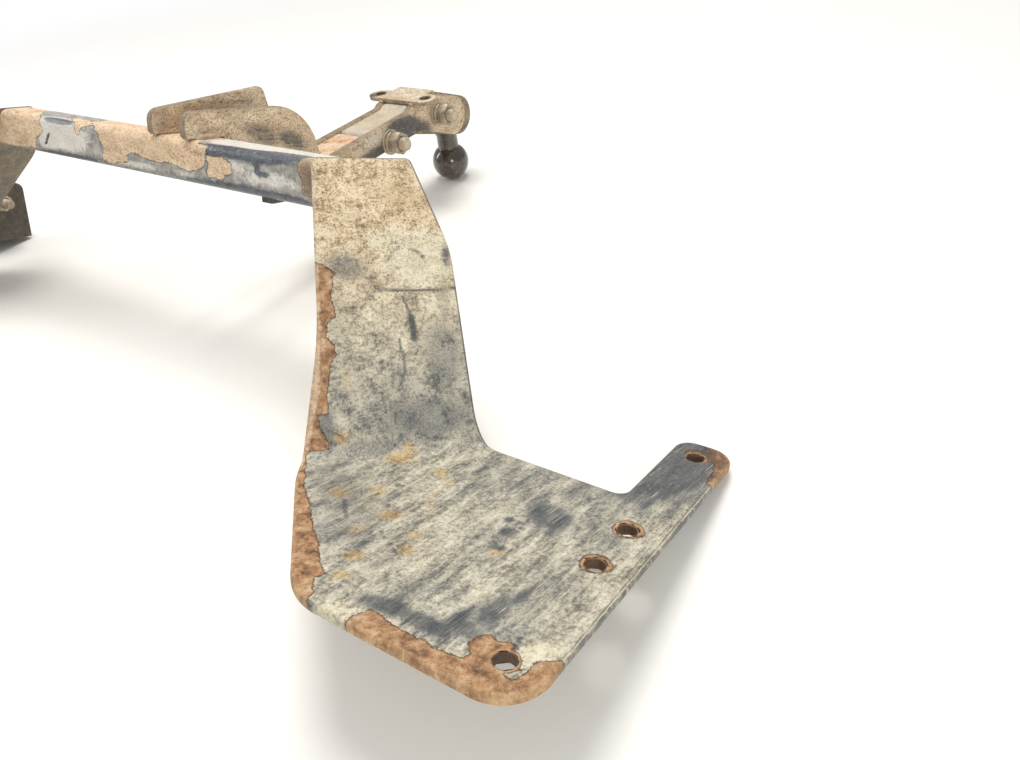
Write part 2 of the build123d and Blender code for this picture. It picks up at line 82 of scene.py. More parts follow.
CHEEK_REAR_R = 24.5
FORGING_REAR = (395.0, 86.0)
FORGING_R = 25.0
FORGING_START = 208.0
FORGING_WIDTH = CORE - 0.6
REAR_END = 420.0
BALL_Y = 383.0
BALL_R = 25.0
BALL_Z = 24.4
NECK_R = 14.25
NECK_BLEND = 4.0
BOLT_YS = (241.0, 338.0)
BOLT_Z = 109.0
BOLT_R = 8.0
BOLT_AF = 24.0
WASHER_T = 3.0
SPRING_T = 3.5
STUD_FACE = 471.0
STUD_Y = -18.0
STUD_Z = 60.0
STUD_R = 6.0
STUD_AF = 19.0
STUD_WASHER_T = 2.5
EYE_X = 35.5
EYE_Y = -7.0
EYE_R = 6.0
EYE_PLATE_Y = 317.0
EYE_PLATE_T = 5.0

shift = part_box("tow_ball")[1].y - REAR_END * MM


def level(x, y, z):
    """Point of the frame standing on the tips' line, in millimetres, as a point of this frame."""
    return Vector((x * MM, y * MM + shift, z * MM))


def turned_level(y, z):
    return y * cos(PITCH) + z * sin(PITCH), z * cos(PITCH) - y * sin(PITCH)


def pitched(x, y, z):
    """Point given in the frame in which the flanges lie flat."""
    return level(x, *turned_level(y, z))


# Outlines and marks

NEARLY_STRAIGHT = 1.55
TINY = 1e-9
CHUNK = 3000              # points at a time, to spare memory
FAR = 1e6
COATED = 30.0             # value of peel and rim well away from any edge
SPOT_CORE = 1.35
SPOT_FADE = 0.7
LINE_CORE = 1.5


def rounded_outline(corners, step):
    """Closed run of points through corners given as (a, b, radius)."""
    run = []
    for i, (a, b, r) in enumerate(corners):
        here = Vector((a, b))
        back = (Vector(corners[i - 1][:2]) - here).normalized()
        on = (Vector(corners[(i + 1) % len(corners)][:2]) - here).normalized()
        half = back.angle(on) / 2
        if r <= 0 or half > NEARLY_STRAIGHT:
            run.append(here)
            continue
        centre = here + (back + on).normalized() * (r / sin(half))
        first = here + back * (r / tan(half)) - centre
        last = here + on * (r / tan(half)) - centre
        count = max(4, ceil(r * (pi - 2 * half) / step))
        for k in range(count + 1):
            run.append(centre + first.lerp(last, k / count).normalized() * r)
    dense = []
    for a, b in zip(run, run[1:] + run[:1]):
        count = max(1, round((b - a).length / step))
        dense += [a.lerp(b, k / count) for k in range(count)]
    area = sum(p.cross(q) for p, q in zip(dense, dense[1:] + dense[:1]))
    return dense if area > 0 else dense[::-1]


def inset(run, distance):
    """The same run, moved inwards."""
    moved = []
    for i, p in enumerate(run):
        way = (run[(i + 1) % len(run)] - run[i - 1]).normalized()
        moved.append(p + Vector((-way.y, way.x)) * distance)
    return moved


def depth_inside(points, polygon):
    """Distance to a closed polygon, above zero inside it."""
    points = np.asarray(points, np.float32)[:, :2]
    a = np.asarray(polygon, np.float32)
    b = np.roll(a, -1, axis=0)
    side = b - a
    found = []
    for part in np.array_split(points, max(1, len(points) // CHUNK)):
        rel = part[:, None] - a
        along = np.clip((rel * side).sum(2) / np.maximum((side * side).sum(1), TINY), 0, 1)
        near = rel - along[..., None] * side
        gap = np.sqrt((near * near).sum(2)).min(1)
        y = part[:, 1:2]
        rise = np.where(np.abs(side[:, 1]) < TINY, TINY, side[:, 1])
        before = part[:, :1] < side[:, 0] * (y - a[:, 1]) / rise + a[:, 0]
        crossed = ((a[:, 1] > y) != (b[:, 1] > y)) & before
        found.append(np.where(crossed.sum(1) % 2 == 1, gap, -gap))
    return np.concatenate(found)


def gap_to_path(points, path):
    """Distance to an open path."""
    nearest = np.full(len(points), FAR)
    for a, b in zip(path, path[1:]):
        a = np.array(a, float)
        side = np.array(b, float) - a
        rel = points[:, :2] - a
        along = np.clip((rel @ side) / (side @ side), 0, 1)
        nearest = np.minimum(nearest, np.hypot(*(rel - along[:, None] * side).T))
    return nearest


def gap_to_holes(points, holes):
    """Distance to the wall of the nearest round hole, below zero inside it."""
    nearest = np.full(len(points), FAR)
    for a, b, r in holes:
        nearest = np.minimum(nearest, np.hypot(points[:, 0] - a, points[:, 1] - b) - r)
    return nearest


def spots(points, *ovals):
    """Strongest of some soft ovals given as (a, b, half-width, half-height, strength) and perhaps a turn."""
    best = np.zeros(len(points))
    for a, b, wide, high, strength, *turn in ovals:
        t = radians(sum(turn))
        da = points[:, 0] - a
        db = points[:, 1] - b
        away = np.hypot((da * cos(t) + db * sin(t)) / wide, (db * cos(t) - da * sin(t)) / high)
        best = np.maximum(best, strength * np.clip(SPOT_CORE - away * SPOT_FADE, 0, 1))
    return best


def lines(points, *strokes):
    """Strongest of some soft strokes given as (half-width, strength, path)."""
    best = np.zeros(len(points))
    for wide, strength, path in strokes:
        best = np.maximum(best, strength * np.clip(LINE_CORE - gap_to_path(points, path) / wide, 0, 1))
    return best


def marks(count, ochre=0.0, dark=0.0, pale=0.0, brushed=0.5, tint=0.0, peel=COATED):
    """What the materials read at each point: stains, painted shade and highlights, strokes, warmth, and the
    coat's depth.
    """
    zone = [np.broadcast_to(values, count) for values in (ochre, dark, pale, brushed)]
    return {"zone": np.stack(zone, 1), "tint": np.full(count, tint), "peel": np.full(count, peel)}


# Meshes


class Shell:
    """Vertices, faces and flat coordinates of one piece."""

    def __init__(self):
        self.points = []
        self.flat = []
        self.rim = []
        self.faces = []

    def add(self, point, flat, rim):
        self.points.append(point)
        self.flat.append(flat)
        self.rim.append(rim)
        return len(self.points) - 1

    def around(self, place, r, t, z, rim):
        """Point at a radius and an angle about an axis."""
        at = (r * cos(t), r * sin(t), z)
        return self.add(place(*at), at, rim)

    def skin(self, rings, closed=True):
        """Faces from each ring of points to the next."""
        for one, two in zip(rings, rings[1:]):
            count = len(one)
            for i in range(count if closed else count - 1):
                j = (i + 1) % count
                self.faces.append((one[i], one[j], two[j], two[i]))

    def build(self, name, node, slot, material, paint=None, join=True):
        """Piece of the visual model that stands for a CAD node."""
        mesh = bpy.data.meshes.new(name)
        mesh.from_pydata(self.points, [], self.faces)
        mend(mesh)
        flat = np.array(self.flat, np.float32)
        found = paint(flat.astype(float)) if paint else marks(len(flat))
        found.update(flat=flat * MM, rim=self.rim)
        kinds = (("flat", "FLOAT_VECTOR", "vector"), ("rim", "FLOAT", "value"), ("peel", "FLOAT", "value"),
                 ("tint", "FLOAT", "value"), ("zone", "FLOAT_COLOR", "color"))
        for key, kind, field in kinds:
            values = np.asarray(found[key], np.float32).ravel()
            mesh.attributes.new(key, kind, "POINT").data.foreach_set(field, values)
        mesh.materials.append(material)
        piece = bpy.data.objects.new(name, mesh)
        bpy.context.scene.collection.objects.link(piece)
        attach(piece, "root")
        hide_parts(node)
        if join:
            mend(mesh, JOIN_GAP)


JOIN_GAP = 0.00001        # metres
HOLE_LIP = 0.8
HOLE_STEPS = 40
BORE_RIM = 9.0            # rim value on the wall of a hole
CLEAR = 0.6               # of a grid step, between the grid and an edge
WAVE_LENGTH = 50.0


def mend(mesh, gap=0.0):
    """Turns the faces outwards; with a gap it also joins rims to faces, so that shading runs on over them."""
    work = bmesh.new()
    work.from_mesh(mesh)
    if gap:
        bmesh.ops.remove_doubles(work, verts=work.verts, dist=gap)
    bmesh.ops.recalc_face_normals(work, faces=work.faces)
    work.to_mesh(mesh)
    work.free()
    mesh.shade_smooth()


def slab(outline, place, thick, rim, step, wave, holes=(), turns=3):
    """Plate with rounded rims; place(a, b, h) puts a point that lies h above its upper face."""
    shell = Shell()
    border = [tuple(p) for p in outline]
    inner_border = [tuple(p) for p in inset(outline, rim)]
    hole_borders = []

    def ring(run, h, away):
        return [shell.add(place(p.x, p.y, h), (p.x, p.y, h), away) for p in run]

    def face(h, grid):
        """Flat side, filled with a grid of triangles."""
        points = []
        edges = []
        for loop in (inner_border, *hole_borders):
            index = range(len(points), len(points) + len(loop))
            edges += [(index[i - 1], index[i]) for i in range(len(loop))]
            points += loop
        low = np.min(points, axis=0)
        high = np.max(points, axis=0)
        aa, bb = np.meshgrid(np.arange(low[0], high[0], grid), np.arange(low[1], high[1], grid))
        inner = np.stack([aa.ravel(), bb.ravel()], 1)
        inner = inner[depth_inside(inner, inner_border) > grid * CLEAR]
        inner = inner[gap_to_holes(inner, holes) > grid * CLEAR]
        made = geometry.delaunay_2d_cdt([Vector(p) for p in points + inner.tolist()], edges, [], 0, 1e-6)
        at = np.array([tuple(p) for p in made[0]])
        triangles = np.array(made[2])
        centre = at[triangles].mean(1)
        keep = (depth_inside(centre, inner_border) > 0) & (gap_to_holes(centre, holes) > 0)
        away = np.minimum(depth_inside(at, border), gap_to_holes(at, holes))
        index = {}
        for triangle in triangles[keep]:
            for v in triangle:
                if v not in index:
                    a, b = at[v]
                    ripple = noise.noise(Vector((a / WAVE_LENGTH, b / WAVE_LENGTH, h)))
                    lift = wave * ripple if away[v] > 2 * rim else 0.0
                    index[v] = shell.add(place(a, b, h + lift), (a, b, h), max(0.0, away[v]))
            shell.faces.append([index[v] for v in triangle])

    quarter = [pi / 2 * k / turns for k in range(turns + 1)]
    sides = [(rim * (1 - sin(t)), -rim * (1 - cos(t))) for t in quarter]
    sides += [(rim * (1 - cos(t)), -thick + rim * (1 - sin(t))) for t in quarter]
    shell.skin([ring(inset(outline, in_by), h, in_by) for in_by, h in sides])
    lip = min(rim, HOLE_LIP)
    circle = [Vector((cos(t), sin(t))) for t in np.arange(HOLE_STEPS) * (2 * pi / HOLE_STEPS)]
    for a, b, r in holes:
        centre = Vector((a, b))
        hoops = ((r + lip, 0.0, 0.0), (r + lip * 0.3, -lip * 0.3, 3.0), (r, -lip, BORE_RIM),
                 (r, lip - thick, BORE_RIM), (r + lip, -thick, BORE_RIM))
        shell.skin([ring([centre + c * size for c in circle], h, away) for size, h, away in hoops])
        hole_borders.append([tuple(centre + c * (r + lip)) for c in circle])
    face(0.0, step)
    face(-thick, step * 2.5)
    return shell


# Materials


def ink(red, green, blue):
    """Linear colour from the eight-bit values seen on a screen."""
    tones = []
    for value in (red, green, blue):
        v = value / 255
        tones.append(v / 12.92 if v < 0.04045 else ((v + 0.055) / 1.055) ** 2.4)
    return (*tones, 1.0)


class Web:
    """Short words for the nodes of a material or a world."""

    def __init__(self, owner):
        owner.use_nodes = True
        self.owner = owner
        self.nodes = owner.node_tree.nodes
        self.nodes.clear()
        self.links = owner.node_tree.links

    def node(self, kind, inputs=(), **settings):
        """Node of a kind, with a value or a link for each input named."""
        node = self.nodes.new("ShaderNode" + kind)
        for key, value in settings.items():
            setattr(node, key, value)
        for key, value in dict(inputs).items():
            if isinstance(value, bpy.types.NodeSocket):
                self.links.new(value, node.inputs[key])
            else:
                node.inputs[key].default_value = value
        return node

    def attribute(self, name, output="Fac"):
        return self.node("Attribute", attribute_name=name).outputs[output]

    def noise(self, where, scale, detail, rough):
        inputs = {"Vector": where, "Scale": scale, "Detail": detail, "Roughness": rough}
        return self.node("TexNoise", inputs).outputs["Fac"]

    def drawn_out(self, where, turn, scales, detail, rough):
        """Noise stretched along strokes that lie at an angle."""
        spun = self.node("Mapping", {"Vector": where, "Rotation": (0, 0, radians(turn))}).outputs[0]
        scaled = self.node("Mapping", {"Vector": spun, "Scale": scales}).outputs[0]
        return self.noise(scaled, 1.0, detail, rough)

    def math(self, operation, *values):
        return self.node("Math", enumerate(values), operation=operation).outputs[0]

    def times(self, a, b):
        return self.math("MULTIPLY", a, b)

    def plus(self, total, value, weight):
        """A total with a weighted value added."""
        return self.math("MULTIPLY_ADD", value, weight, total)

    def centred(self, value):
        return self.math("SUBTRACT", value, 0.5)

    def step(self, value, low, high, to_low=0.0, to_high=1.0):
        inputs = {"Value": value, "From Min": low, "From Max": high, "To Min": to_low, "To Max": to_high}
        return self.node("MapRange", inputs, interpolation_type="SMOOTHSTEP").outputs[0]

    def ramp(self, value, stops):
        node = self.node("ValToRGB", {0: value})
        elements = node.color_ramp.elements
        while len(elements) < len(stops):
            elements.new(1.0)
        for element, (at, colour) in zip(elements, stops):
            element.position = at
            element.color = ink(*colour)
        return node.outputs[0]

    def pair(self, value, colours, low=0.4, high=0.6):
        """Ramp between two colours."""
        return self.ramp(value, ((low, colours[0]), (high, colours[1])))

    def mix(self, factor, a, b):
        return self.node("Mix", {0: factor, 6: a, 7: b}, data_type="RGBA").outputs[2]

    def blend(self, factor, a, b):
        return self.node("Mix", {0: factor, 2: a, 3: b}).outputs[0]

    def surface(self, colour, rough, height, relief, metallic=0.0, coat=0.0):
        bump = self.node("Bump", {"Strength": 1.0, "Distance": relief * MM, "Height": height})
        inputs = {"Base Color": colour, "Roughness": rough, "Metallic": metallic, "Coat Weight": coat,
                  "Normal": bump.outputs[0]}
        return self.node("BsdfPrincipled", inputs).outputs[0]

    def finish(self, surface):
        self.node("OutputMaterial", {0: surface})
        return self.owner


RUST = ((0.34, (74, 54, 40)), (0.43, (130, 98, 70)), (0.51, (174, 132, 94)), (0.59, (194, 160, 124)),
        (0.7, (224, 202, 172)))
OCHRE = ((0.38, (132, 104, 66)), (0.5, (186, 156, 102)), (0.62, (216, 192, 140)))
STEEL = ((0.36, (52, 45, 39)), (0.5, (70, 62, 54)), (0.62, (90, 80, 70)), (0.72, (112, 100, 86)))
GRIT = ((62, 54, 44), (110, 92, 70))
# dark tone of the painted shadow under the lip of the peeled paint
LIP_SHADOW_TONE = (48, 38, 31)


def coat(name, slate, dirt, warm, dark, pale, streak, gloss, speck, turn=-46.0, cover=0.0, under=RUST,
         under_dark=((70, 52, 41), (106, 79, 58)), under_pale=((190, 160, 130), (226, 204, 180)),
         under_rim_highlight=((150, 112, 76), (218, 184, 142)), edge=((48, 52, 56), (96, 98, 98)), edge_width=1.6,
         gloss_under=0.85, crust_height=0.6):
    """Dirt over old paint, peeled to what lies under it where the piece's own marks say so, with painted
    shade and painted highlights where the marks and rims ask for them.
    """
    web = Web(bpy.data.materials.new(name))
    where = web.attribute("flat", "Vector")
    ochre_zone, dark_zone, pale_zone = web.node("SeparateColor", {0: web.attribute("zone", "Color")}).outputs
    brushed = web.attribute("zone", "Alpha")
    tint = web.attribute("tint")
    away = web.attribute("rim")
    big = web.noise(where, 15, 7, 0.66)
    middle = web.noise(where, 62, 7, 0.68)
    fine = web.noise(where, 270, 6, 0.66)
    grain = web.noise(where, 620, 3, 0.6)
    strokes = web.drawn_out(where, turn, (24, 520, 24), 6, 0.68)
    hairs = web.drawn_out(where, turn + 7, (30, 2200, 30), 2, 0.5)
    warp = web.plus(web.plus(-0.5, middle, 0.45), fine, 0.55)
    brush = web.times(web.centred(strokes), web.times(brushed, web.step(big, 0.38, 0.6, 0.25, 1.0)))
    # where the paint was brushed its blotches are drawn out along the strokes
    smear = web.drawn_out(where, turn + 4, (30, 96, 30), 8, 0.7)
    blotch = web.centred(web.blend(brushed, middle, smear))
    # how much of the paint lies under dirt
    amount = web.plus(web.plus(cover - 0.21, blotch, 0.87), big, 0.42)
    amount = web.plus(amount, web.centred(fine), 0.55)
    for value, weight in ((brush, streak), (pale_zone, 0.34), (dark_zone, -0.26), (tint, 0.3)):
        amount = web.plus(amount, value, weight)
    mask = web.step(amount, -0.24, 0.24)
    tone = web.plus(web.times(grain, 0.4), fine, 0.6)
    tone = web.plus(web.plus(web.plus(0.1, tone, 0.8), blotch, 0.7), brush, 0.28)
    warmth = web.step(web.math("ADD", tint, web.times(warp, 1.6)), 0.15, 0.85)
    soil = web.mix(warmth, web.ramp(tone, dirt), web.ramp(tone, warm))
    colour = web.mix(mask, web.ramp(tone, slate), soil)
    # cream dirt and ochre stains; the pale zone also carries painted highlights along some of the near
    # plate's rims and two glints on the crossbar
    cream = web.step(web.plus(pale_zone, warp, 2.4), 0.4, 0.8, 0.0, 0.8)
    colour = web.mix(cream, colour, web.pair(tone, pale))
    ochre = web.step(web.plus(ochre_zone, warp, 2.8), 0.25, 0.85, 0.0, 0.85)
    colour = web.mix(ochre, colour, web.ramp(tone, OCHRE))
    # dark paint laid bare, brushed along the strokes; at the near plate's hole walls and outer rim the same
    # dark is painted shade
    bare = web.step(web.plus(web.plus(dark_zone, brush, 1.6), warp, 2.2), 0.35, 0.85, 0.0, 0.9)
    colour = web.mix(bare, colour, web.pair(tone, dark, 0.4, 0.62))
    # fine grit, and hairline scratches
    grit = web.times(web.step(grain, 0.42, 0.36, 0.0, speck), web.plus(0.35, tint, 0.7))
    colour = web.mix(grit, colour, web.pair(middle, GRIT, 0.35, 0.65))
    scratch = web.times(web.step(hairs, 0.6, 0.68, 0.0, 0.75), brushed)
    colour = web.mix(web.times(scratch, web.step(middle, 0.44, 0.56)), colour, ink(*pale[1]))
    # under the peeled coat
    ragged = web.plus(web.plus(web.attribute("peel"), web.centred(middle), 10.0), web.centred(fine), 4.0)
    paint = web.step(ragged, -0.3, 0.3)
    # painted shadow: a dark band just outside the edge of the paint, under the lip of the peeled coat
    lip = web.math("SUBTRACT", web.step(ragged, -1.4, -0.2), paint)
    crust = web.noise(where, 95, 10, 0.76)
    below = web.ramp(crust, under)
    below_pale = web.step(web.plus(pale_zone, warp, 2.0), 0.35, 0.8, 0.0, 0.85)
    below = web.mix(below_pale, below, web.pair(tone, under_pale))
    below_dark = web.step(web.plus(dark_zone, warp, 2.0), 0.35, 0.8, 0.0, 0.92)
    below = web.mix(below_dark, below, web.pair(tone, under_dark))
    below = web.mix(web.step(grain, 0.4, 0.34, 0.0, 0.5), below, ink(*under_dark[0]))
    # painted highlight: a paler tone along the bare rims where the coat has peeled, standing for worn edges
    # that catch light
    shine = web.step(web.plus(away, warp, -7.0), 1.0, 3.4, 0.6, 0.0)
    below = web.mix(shine, below, web.pair(tone, under_rim_highlight))
    # rims: dark where the coat holds, broken in places; with the side plates' dark slate edge tone this is
    # painted shade on their rims, on the other pieces a worn edge tone
    rim_tone_mask = web.step(web.plus(away, warp, -5.0), edge_width - 0.6, edge_width + 0.6, 0.85, 0.0)
    rim_tone_mask = web.times(rim_tone_mask, web.step(pale_zone, 0.2, 0.7, 1.0, 0.1))
    colour = web.mix(rim_tone_mask, colour, web.pair(tone, edge))
    colour = web.mix(paint, below, colour)
    colour = web.mix(web.times(lip, 0.7), colour, ink(*LIP_SHADOW_TONE))
    rough = web.plus(gloss - 0.15, middle, 0.3)
    rough = web.plus(web.plus(rough, web.math("SUBTRACT", 1.0, mask), -0.14), bare, -0.1)
    rough = web.blend(paint, web.plus(gloss_under, below_dark, -0.3), rough)
    height = web.plus(web.times(crust, 0.9), paint, crust_height)
    for value, weight in ((mask, 0.14), (fine, 0.5), (grain, web.plus(0.1, tint, 0.3)), (brush, 0.2)):
        height = web.plus(height, value, weight)
    return web.finish(web.surface(colour, rough, height, 0.7))


RUB_WIDTH = 1.2


def worn_edges(web):
    """Mask that is bright on the outer edges of a carried-over CAD piece."""
    soft = web.node("Bevel", {"Radius": RUB_WIDTH * MM}, samples=6).outputs[0]
    true = web.node("NewGeometry").outputs["Normal"]
    likeness = web.node("VectorMath", {0: soft, 1: true}, operation="DOT_PRODUCT").outputs["Value"]
    return web.step(likeness, 0.8, 0.99, 1.0, 0.0)


def solid_metal(name, tones, flecks, gloss, edge=None, metallic=0.0, flat=False):
    """Dull metal or paint on a small piece, with worn edges where an edge colour is given."""
    web = Web(bpy.data.materials.new(name))
    where = web.attribute("flat", "Vector") if flat else web.node("TexCoord").outputs["Object"]
    big = web.noise(where, 40, 6, 0.6)
    middle = web.noise(where, 160, 6, 0.65)
    fine = web.noise(where, 700, 3, 0.6)
    half = web.times(middle, 0.5)
    colour = web.ramp(web.plus(half, big, 0.5), tones)
    spot = web.step(web.plus(half, fine, 0.5), 0.54, 0.62, 0.0, 0.7)
    colour = web.mix(spot, colour, web.pair(big, flecks, 0.3, 0.7))
    height = web.plus(web.times(fine, 0.4), middle, 0.6)
    if edge:
        rim_tone_mask = web.step(web.plus(worn_edges(web), web.centred(middle), 1.4), 0.35, 0.7, 0.0, 0.85)
        colour = web.mix(rim_tone_mask, colour, web.pair(fine, edge, 0.3, 0.7))
        height = web.plus(height, rim_tone_mask, -0.3)
    return web.finish(web.surface(colour, web.plus(gloss - 0.17, middle, 0.35), height, 0.5, metallic))


def ball_steel():
    """Dark forged steel with a greased, rubbed surface."""
    web = Web(bpy.data.materials.new("ball_steel"))
    where = web.attribute("flat", "Vector")
    big = web.noise(where, 45, 5, 0.6)
    middle = web.noise(where, 190, 6, 0.65)
    fine = web.noise(where, 1100, 3, 0.6)
    rings = web.drawn_out(where, 0, (6, 6, 900), 3, 0.6)
    half = web.times(middle, 0.5)
    colour = web.ramp(web.plus(half, big, 0.5), STEEL)
    scuff = web.step(web.plus(half, rings, 0.5), 0.57, 0.7, 0.0, 0.3)
    colour = web.mix(scuff, colour, web.pair(fine, ((112, 98, 80), (146, 132, 112)), 0.35, 0.65))
    rim = web.step(web.plus(web.attribute("rim"), web.centred(middle), 3.0), 0.0, 1.2, 0.6, 0.0)
    colour = web.mix(rim, colour, web.pair(fine, ((96, 84, 70), (128, 114, 96)), 0.35, 0.65))
    rough = web.plus(web.plus(0.1, middle, 0.25), scuff, 0.25)
    height = web.plus(web.plus(web.times(middle, 0.12), fine, 0.04), rings, 0.12)
    return web.finish(web.surface(colour, rough, height, 0.25, metallic=0.25, coat=0.8))


plate_paint = coat(
    "plate_paint",
    slate=((0.38, (78, 82, 84)), (0.47, (118, 119, 114)), (0.54, (150, 148, 138)), (0.64, (182, 178, 164))),
    dirt=((0.36, (124, 115, 96)), (0.46, (170, 161, 138)), (0.54, (198, 190, 168)), (0.64, (220, 213, 194))),
    warm=((0.38, (140, 113, 82)), (0.46, (189, 164, 128)), (0.53, (220, 199, 164)), (0.64, (242, 226, 196))),
    dark=((52, 56, 62), (92, 95, 96)), pale=((204, 194, 164), (235, 226, 198)),
    streak=0.5, gloss=0.58, speck=0.75, cover=0.07,
)
# Dark olive-brown for the far plate's underside, which lies in shade: partly painted shade, partly its own
# colour; lighter dirt on its upper face comes from its marks.
far_paint_and_shade = coat(
    "far_plate_paint_and_shade",
    slate=((0.36, (78, 72, 60)), (0.5, (104, 95, 78)), (0.65, (124, 114, 94))),
    dirt=((0.36, (92, 82, 66)), (0.5, (122, 110, 90)), (0.65, (142, 130, 108))),
    warm=((0.36, (122, 113, 94)), (0.46, (166, 157, 134)), (0.54, (194, 186, 163)), (0.64, (218, 210, 190))),
    dark=((44, 40, 34), (70, 64, 54)), pale=((140, 130, 108), (160, 148, 124)),
    streak=0.1, gloss=0.65, speck=0.3,
)
tube_paint = coat(
    "tube_paint",
    slate=((0.36, (140, 112, 82)), (0.5, (180, 150, 116)), (0.64, (206, 180, 146))),
    dirt=((0.34, (154, 128, 100)), (0.45, (202, 174, 142)), (0.54, (226, 200, 169)), (0.66, (246, 227, 201))),
    warm=((0.34, (160, 130, 100)), (0.45, (211, 180, 145)), (0.54, (235, 206, 173)), (0.66, (250, 231, 205))),
    dark=((96, 82, 68), (136, 118, 98)), pale=((222, 208, 188), (240, 230, 214)),
    under=((0.36, (118, 118, 116)), (0.48, (158, 155, 148)), (0.58, (190, 184, 174)), (0.7, (222, 214, 202))),
    under_dark=((34, 40, 50), (98, 106, 118)), under_pale=((222, 215, 204), (246, 241, 232)),
    under_rim_highlight=((150, 146, 138), (196, 190, 178)),
    streak=0.1, turn=5.0, gloss=0.75, speck=0.6, gloss_under=0.5, crust_height=1.1,
)
cheek_paint = coat(
    "cheek_paint",
    slate=((0.38, (90, 88, 84)), (0.5, (132, 126, 116)), (0.62, (174, 166, 150))),
    dirt=((0.36, (124, 110, 90)), (0.46, (176, 158, 132)), (0.55, (210, 191, 163)), (0.66, (238, 223, 200))),
    warm=((0.36, (132, 110, 86)), (0.46, (188, 164, 134)), (0.55, (222, 199, 168)), (0.66, (246, 230, 204))),
    dark=((38, 42, 48), (72, 76, 80)), pale=((198, 188, 168), (230, 221, 204)),
    edge=((98, 86, 72), (150, 132, 108)),
    streak=0.15, turn=20.0, gloss=0.62, speck=0.85, edge_width=0.8, cover=0.12,
)
forging_paint = coat(
    "forging_paint",
    slate=((0.38, (70, 64, 54)), (0.5, (104, 92, 74)), (0.62, (134, 118, 96))),
    dirt=((0.38, (92, 78, 60)), (0.48, (134, 116, 90)), (0.58, (166, 148, 120)), (0.68, (198, 182, 154))),
    warm=((0.38, (110, 90, 66)), (0.48, (156, 132, 102)), (0.58, (188, 166, 134)), (0.68, (212, 194, 166))),
    dark=((40, 38, 34), (72, 66, 56)), pale=((198, 188, 172), (226, 218, 204)),
    edge=((96, 84, 68), (150, 134, 110)), streak=0.1, gloss=0.58, speck=0.8,
)
eye_plate_paint = coat(
    "eye_plate_paint",
    slate=((0.38, (112, 100, 84)), (0.5, (152, 140, 122)), (0.62, (182, 170, 152))),
    dirt=((0.38, (150, 130, 104)), (0.48, (192, 174, 148)), (0.56, (216, 200, 178)), (0.66, (232, 220, 204))),
    warm=((0.38, (150, 112, 78)), (0.48, (194, 156, 114)), (0.56, (218, 188, 152)), (0.66, (234, 214, 186))),
    dark=((58, 48, 38), (98, 84, 66)), pale=((208, 198, 182), (230, 222, 208)),
    edge=((120, 104, 82), (176, 158, 132)),
    streak=0.1, gloss=0.6, speck=0.7, edge_width=0.8, cover=0.12,
)
zinc = solid_metal(
    "dull_zinc",
    tones=((0.36, (120, 108, 90)), (0.5, (176, 162, 138)), (0.64, (212, 200, 178))),
    edge=((206, 198, 182), (236, 230, 216)), flecks=((96, 80, 62), (132, 108, 82)),
    gloss=0.5, metallic=0.35, flat=True,
)
bracket_paint = solid_metal(
    "bracket_paint",
    tones=((0.36, (52, 47, 40)), (0.5, (78, 70, 60)), (0.64, (104, 95, 82))),
    edge=((120, 104, 84), (150, 132, 108)), flecks=((38, 34, 30), (60, 52, 44)), gloss=0.6,
)
spacer_paint = solid_metal(
    "spacer_paint",
    tones=((0.36, (158, 118, 86)), (0.46, (208, 164, 126)), (0.54, (220, 190, 158)), (0.64, (236, 218, 196))),
    edge=((130, 104, 80), (170, 140, 110)), flecks=((110, 84, 62), (150, 118, 88)), gloss=0.6,
)
tab_paint = solid_metal(
    "tab_paint",
    tones=((0.36, (40, 38, 36)), (0.5, (60, 56, 52)), (0.64, (88, 82, 74))),
    edge=((110, 96, 80), (140, 122, 100)), flecks=((30, 28, 26), (50, 44, 38)), gloss=0.55,
)
weld_metal = solid_metal(
    "weld_metal",
    tones=((0.36, (150, 126, 100)), (0.5, (192, 170, 142)), (0.64, (222, 206, 182))),
    flecks=((116, 90, 68), (150, 120, 92)), gloss=0.55, flat=True,
)

# Side plates


def in_neck(x, y, bend):
    """Plan position as distances across and along a neck, from the middle of its bend."""
    bend_x, bend_y, turn = bend
    dx, dy = x - bend_x, y - bend_y
    return dx * sin(turn) + dy * cos(turn), dy * sin(turn) - dx * cos(turn)


def plate_place(side, bend):
    """Bends a flat plate: t runs across its neck and s along it, from the middle of the bend."""
    bend_x, bend_y, aim = bend

    def place(t, s, h):
        if s < -TANGENT:
            along, z = s, PLATE_T + h
        elif s < TANGENT:
            turn = (s + TANGENT) / (2 * TANGENT) * SLOPE
            along = -TANGENT + (BEND_R - h) * sin(turn)
            z = PLATE_T + BEND_R - (BEND_R - h) * cos(turn)
        else:
            along = s * cos(SLOPE) - h * sin(SLOPE)
            z = PLATE_T + s * sin(SLOPE) + h * cos(SLOPE)
        x = bend_x + t * sin(aim) - along * cos(aim)
        y = bend_y + t * cos(aim) + along * sin(aim)
        return pitched(side * x, y, z)
    return place


def unrolled(bend, neck, step):
    """Outline drawn in plan round a finger, a front and a neck, with the neck laid out at its true length."""
    root_r, *neck = neck
    corners = [(*in_neck(OUTER_X, 0, bend), FINGER_TIP_R), (*in_neck(OUTER_X, FRONT_Y, bend), FRONT_R), *neck,
               (*in_neck(FINGER_X, NOTCH_Y, bend), root_r), (*in_neck(FINGER_X, 0, bend), FINGER_INNER_R)]
    return [Vector((p.x, p.y / cos(SLOPE) if p.y > 0 else p.y)) for p in rounded_outline(corners, step)]


def right_outline(step):
    shoulder = NECK_RUN - 84.0 * cos(SLOPE)
    neck = [9, (-HALF, -154.1, 48), (-HALF, -20.0, 150), (-49.5, 60.0, 150), (-49.5, NECK_RUN, 4),
            (31.5, NECK_RUN, 6), (59.5, shoulder, 45), (HALF, 7.3, 34)]
    return unrolled(RIGHT_BEND, neck, step)


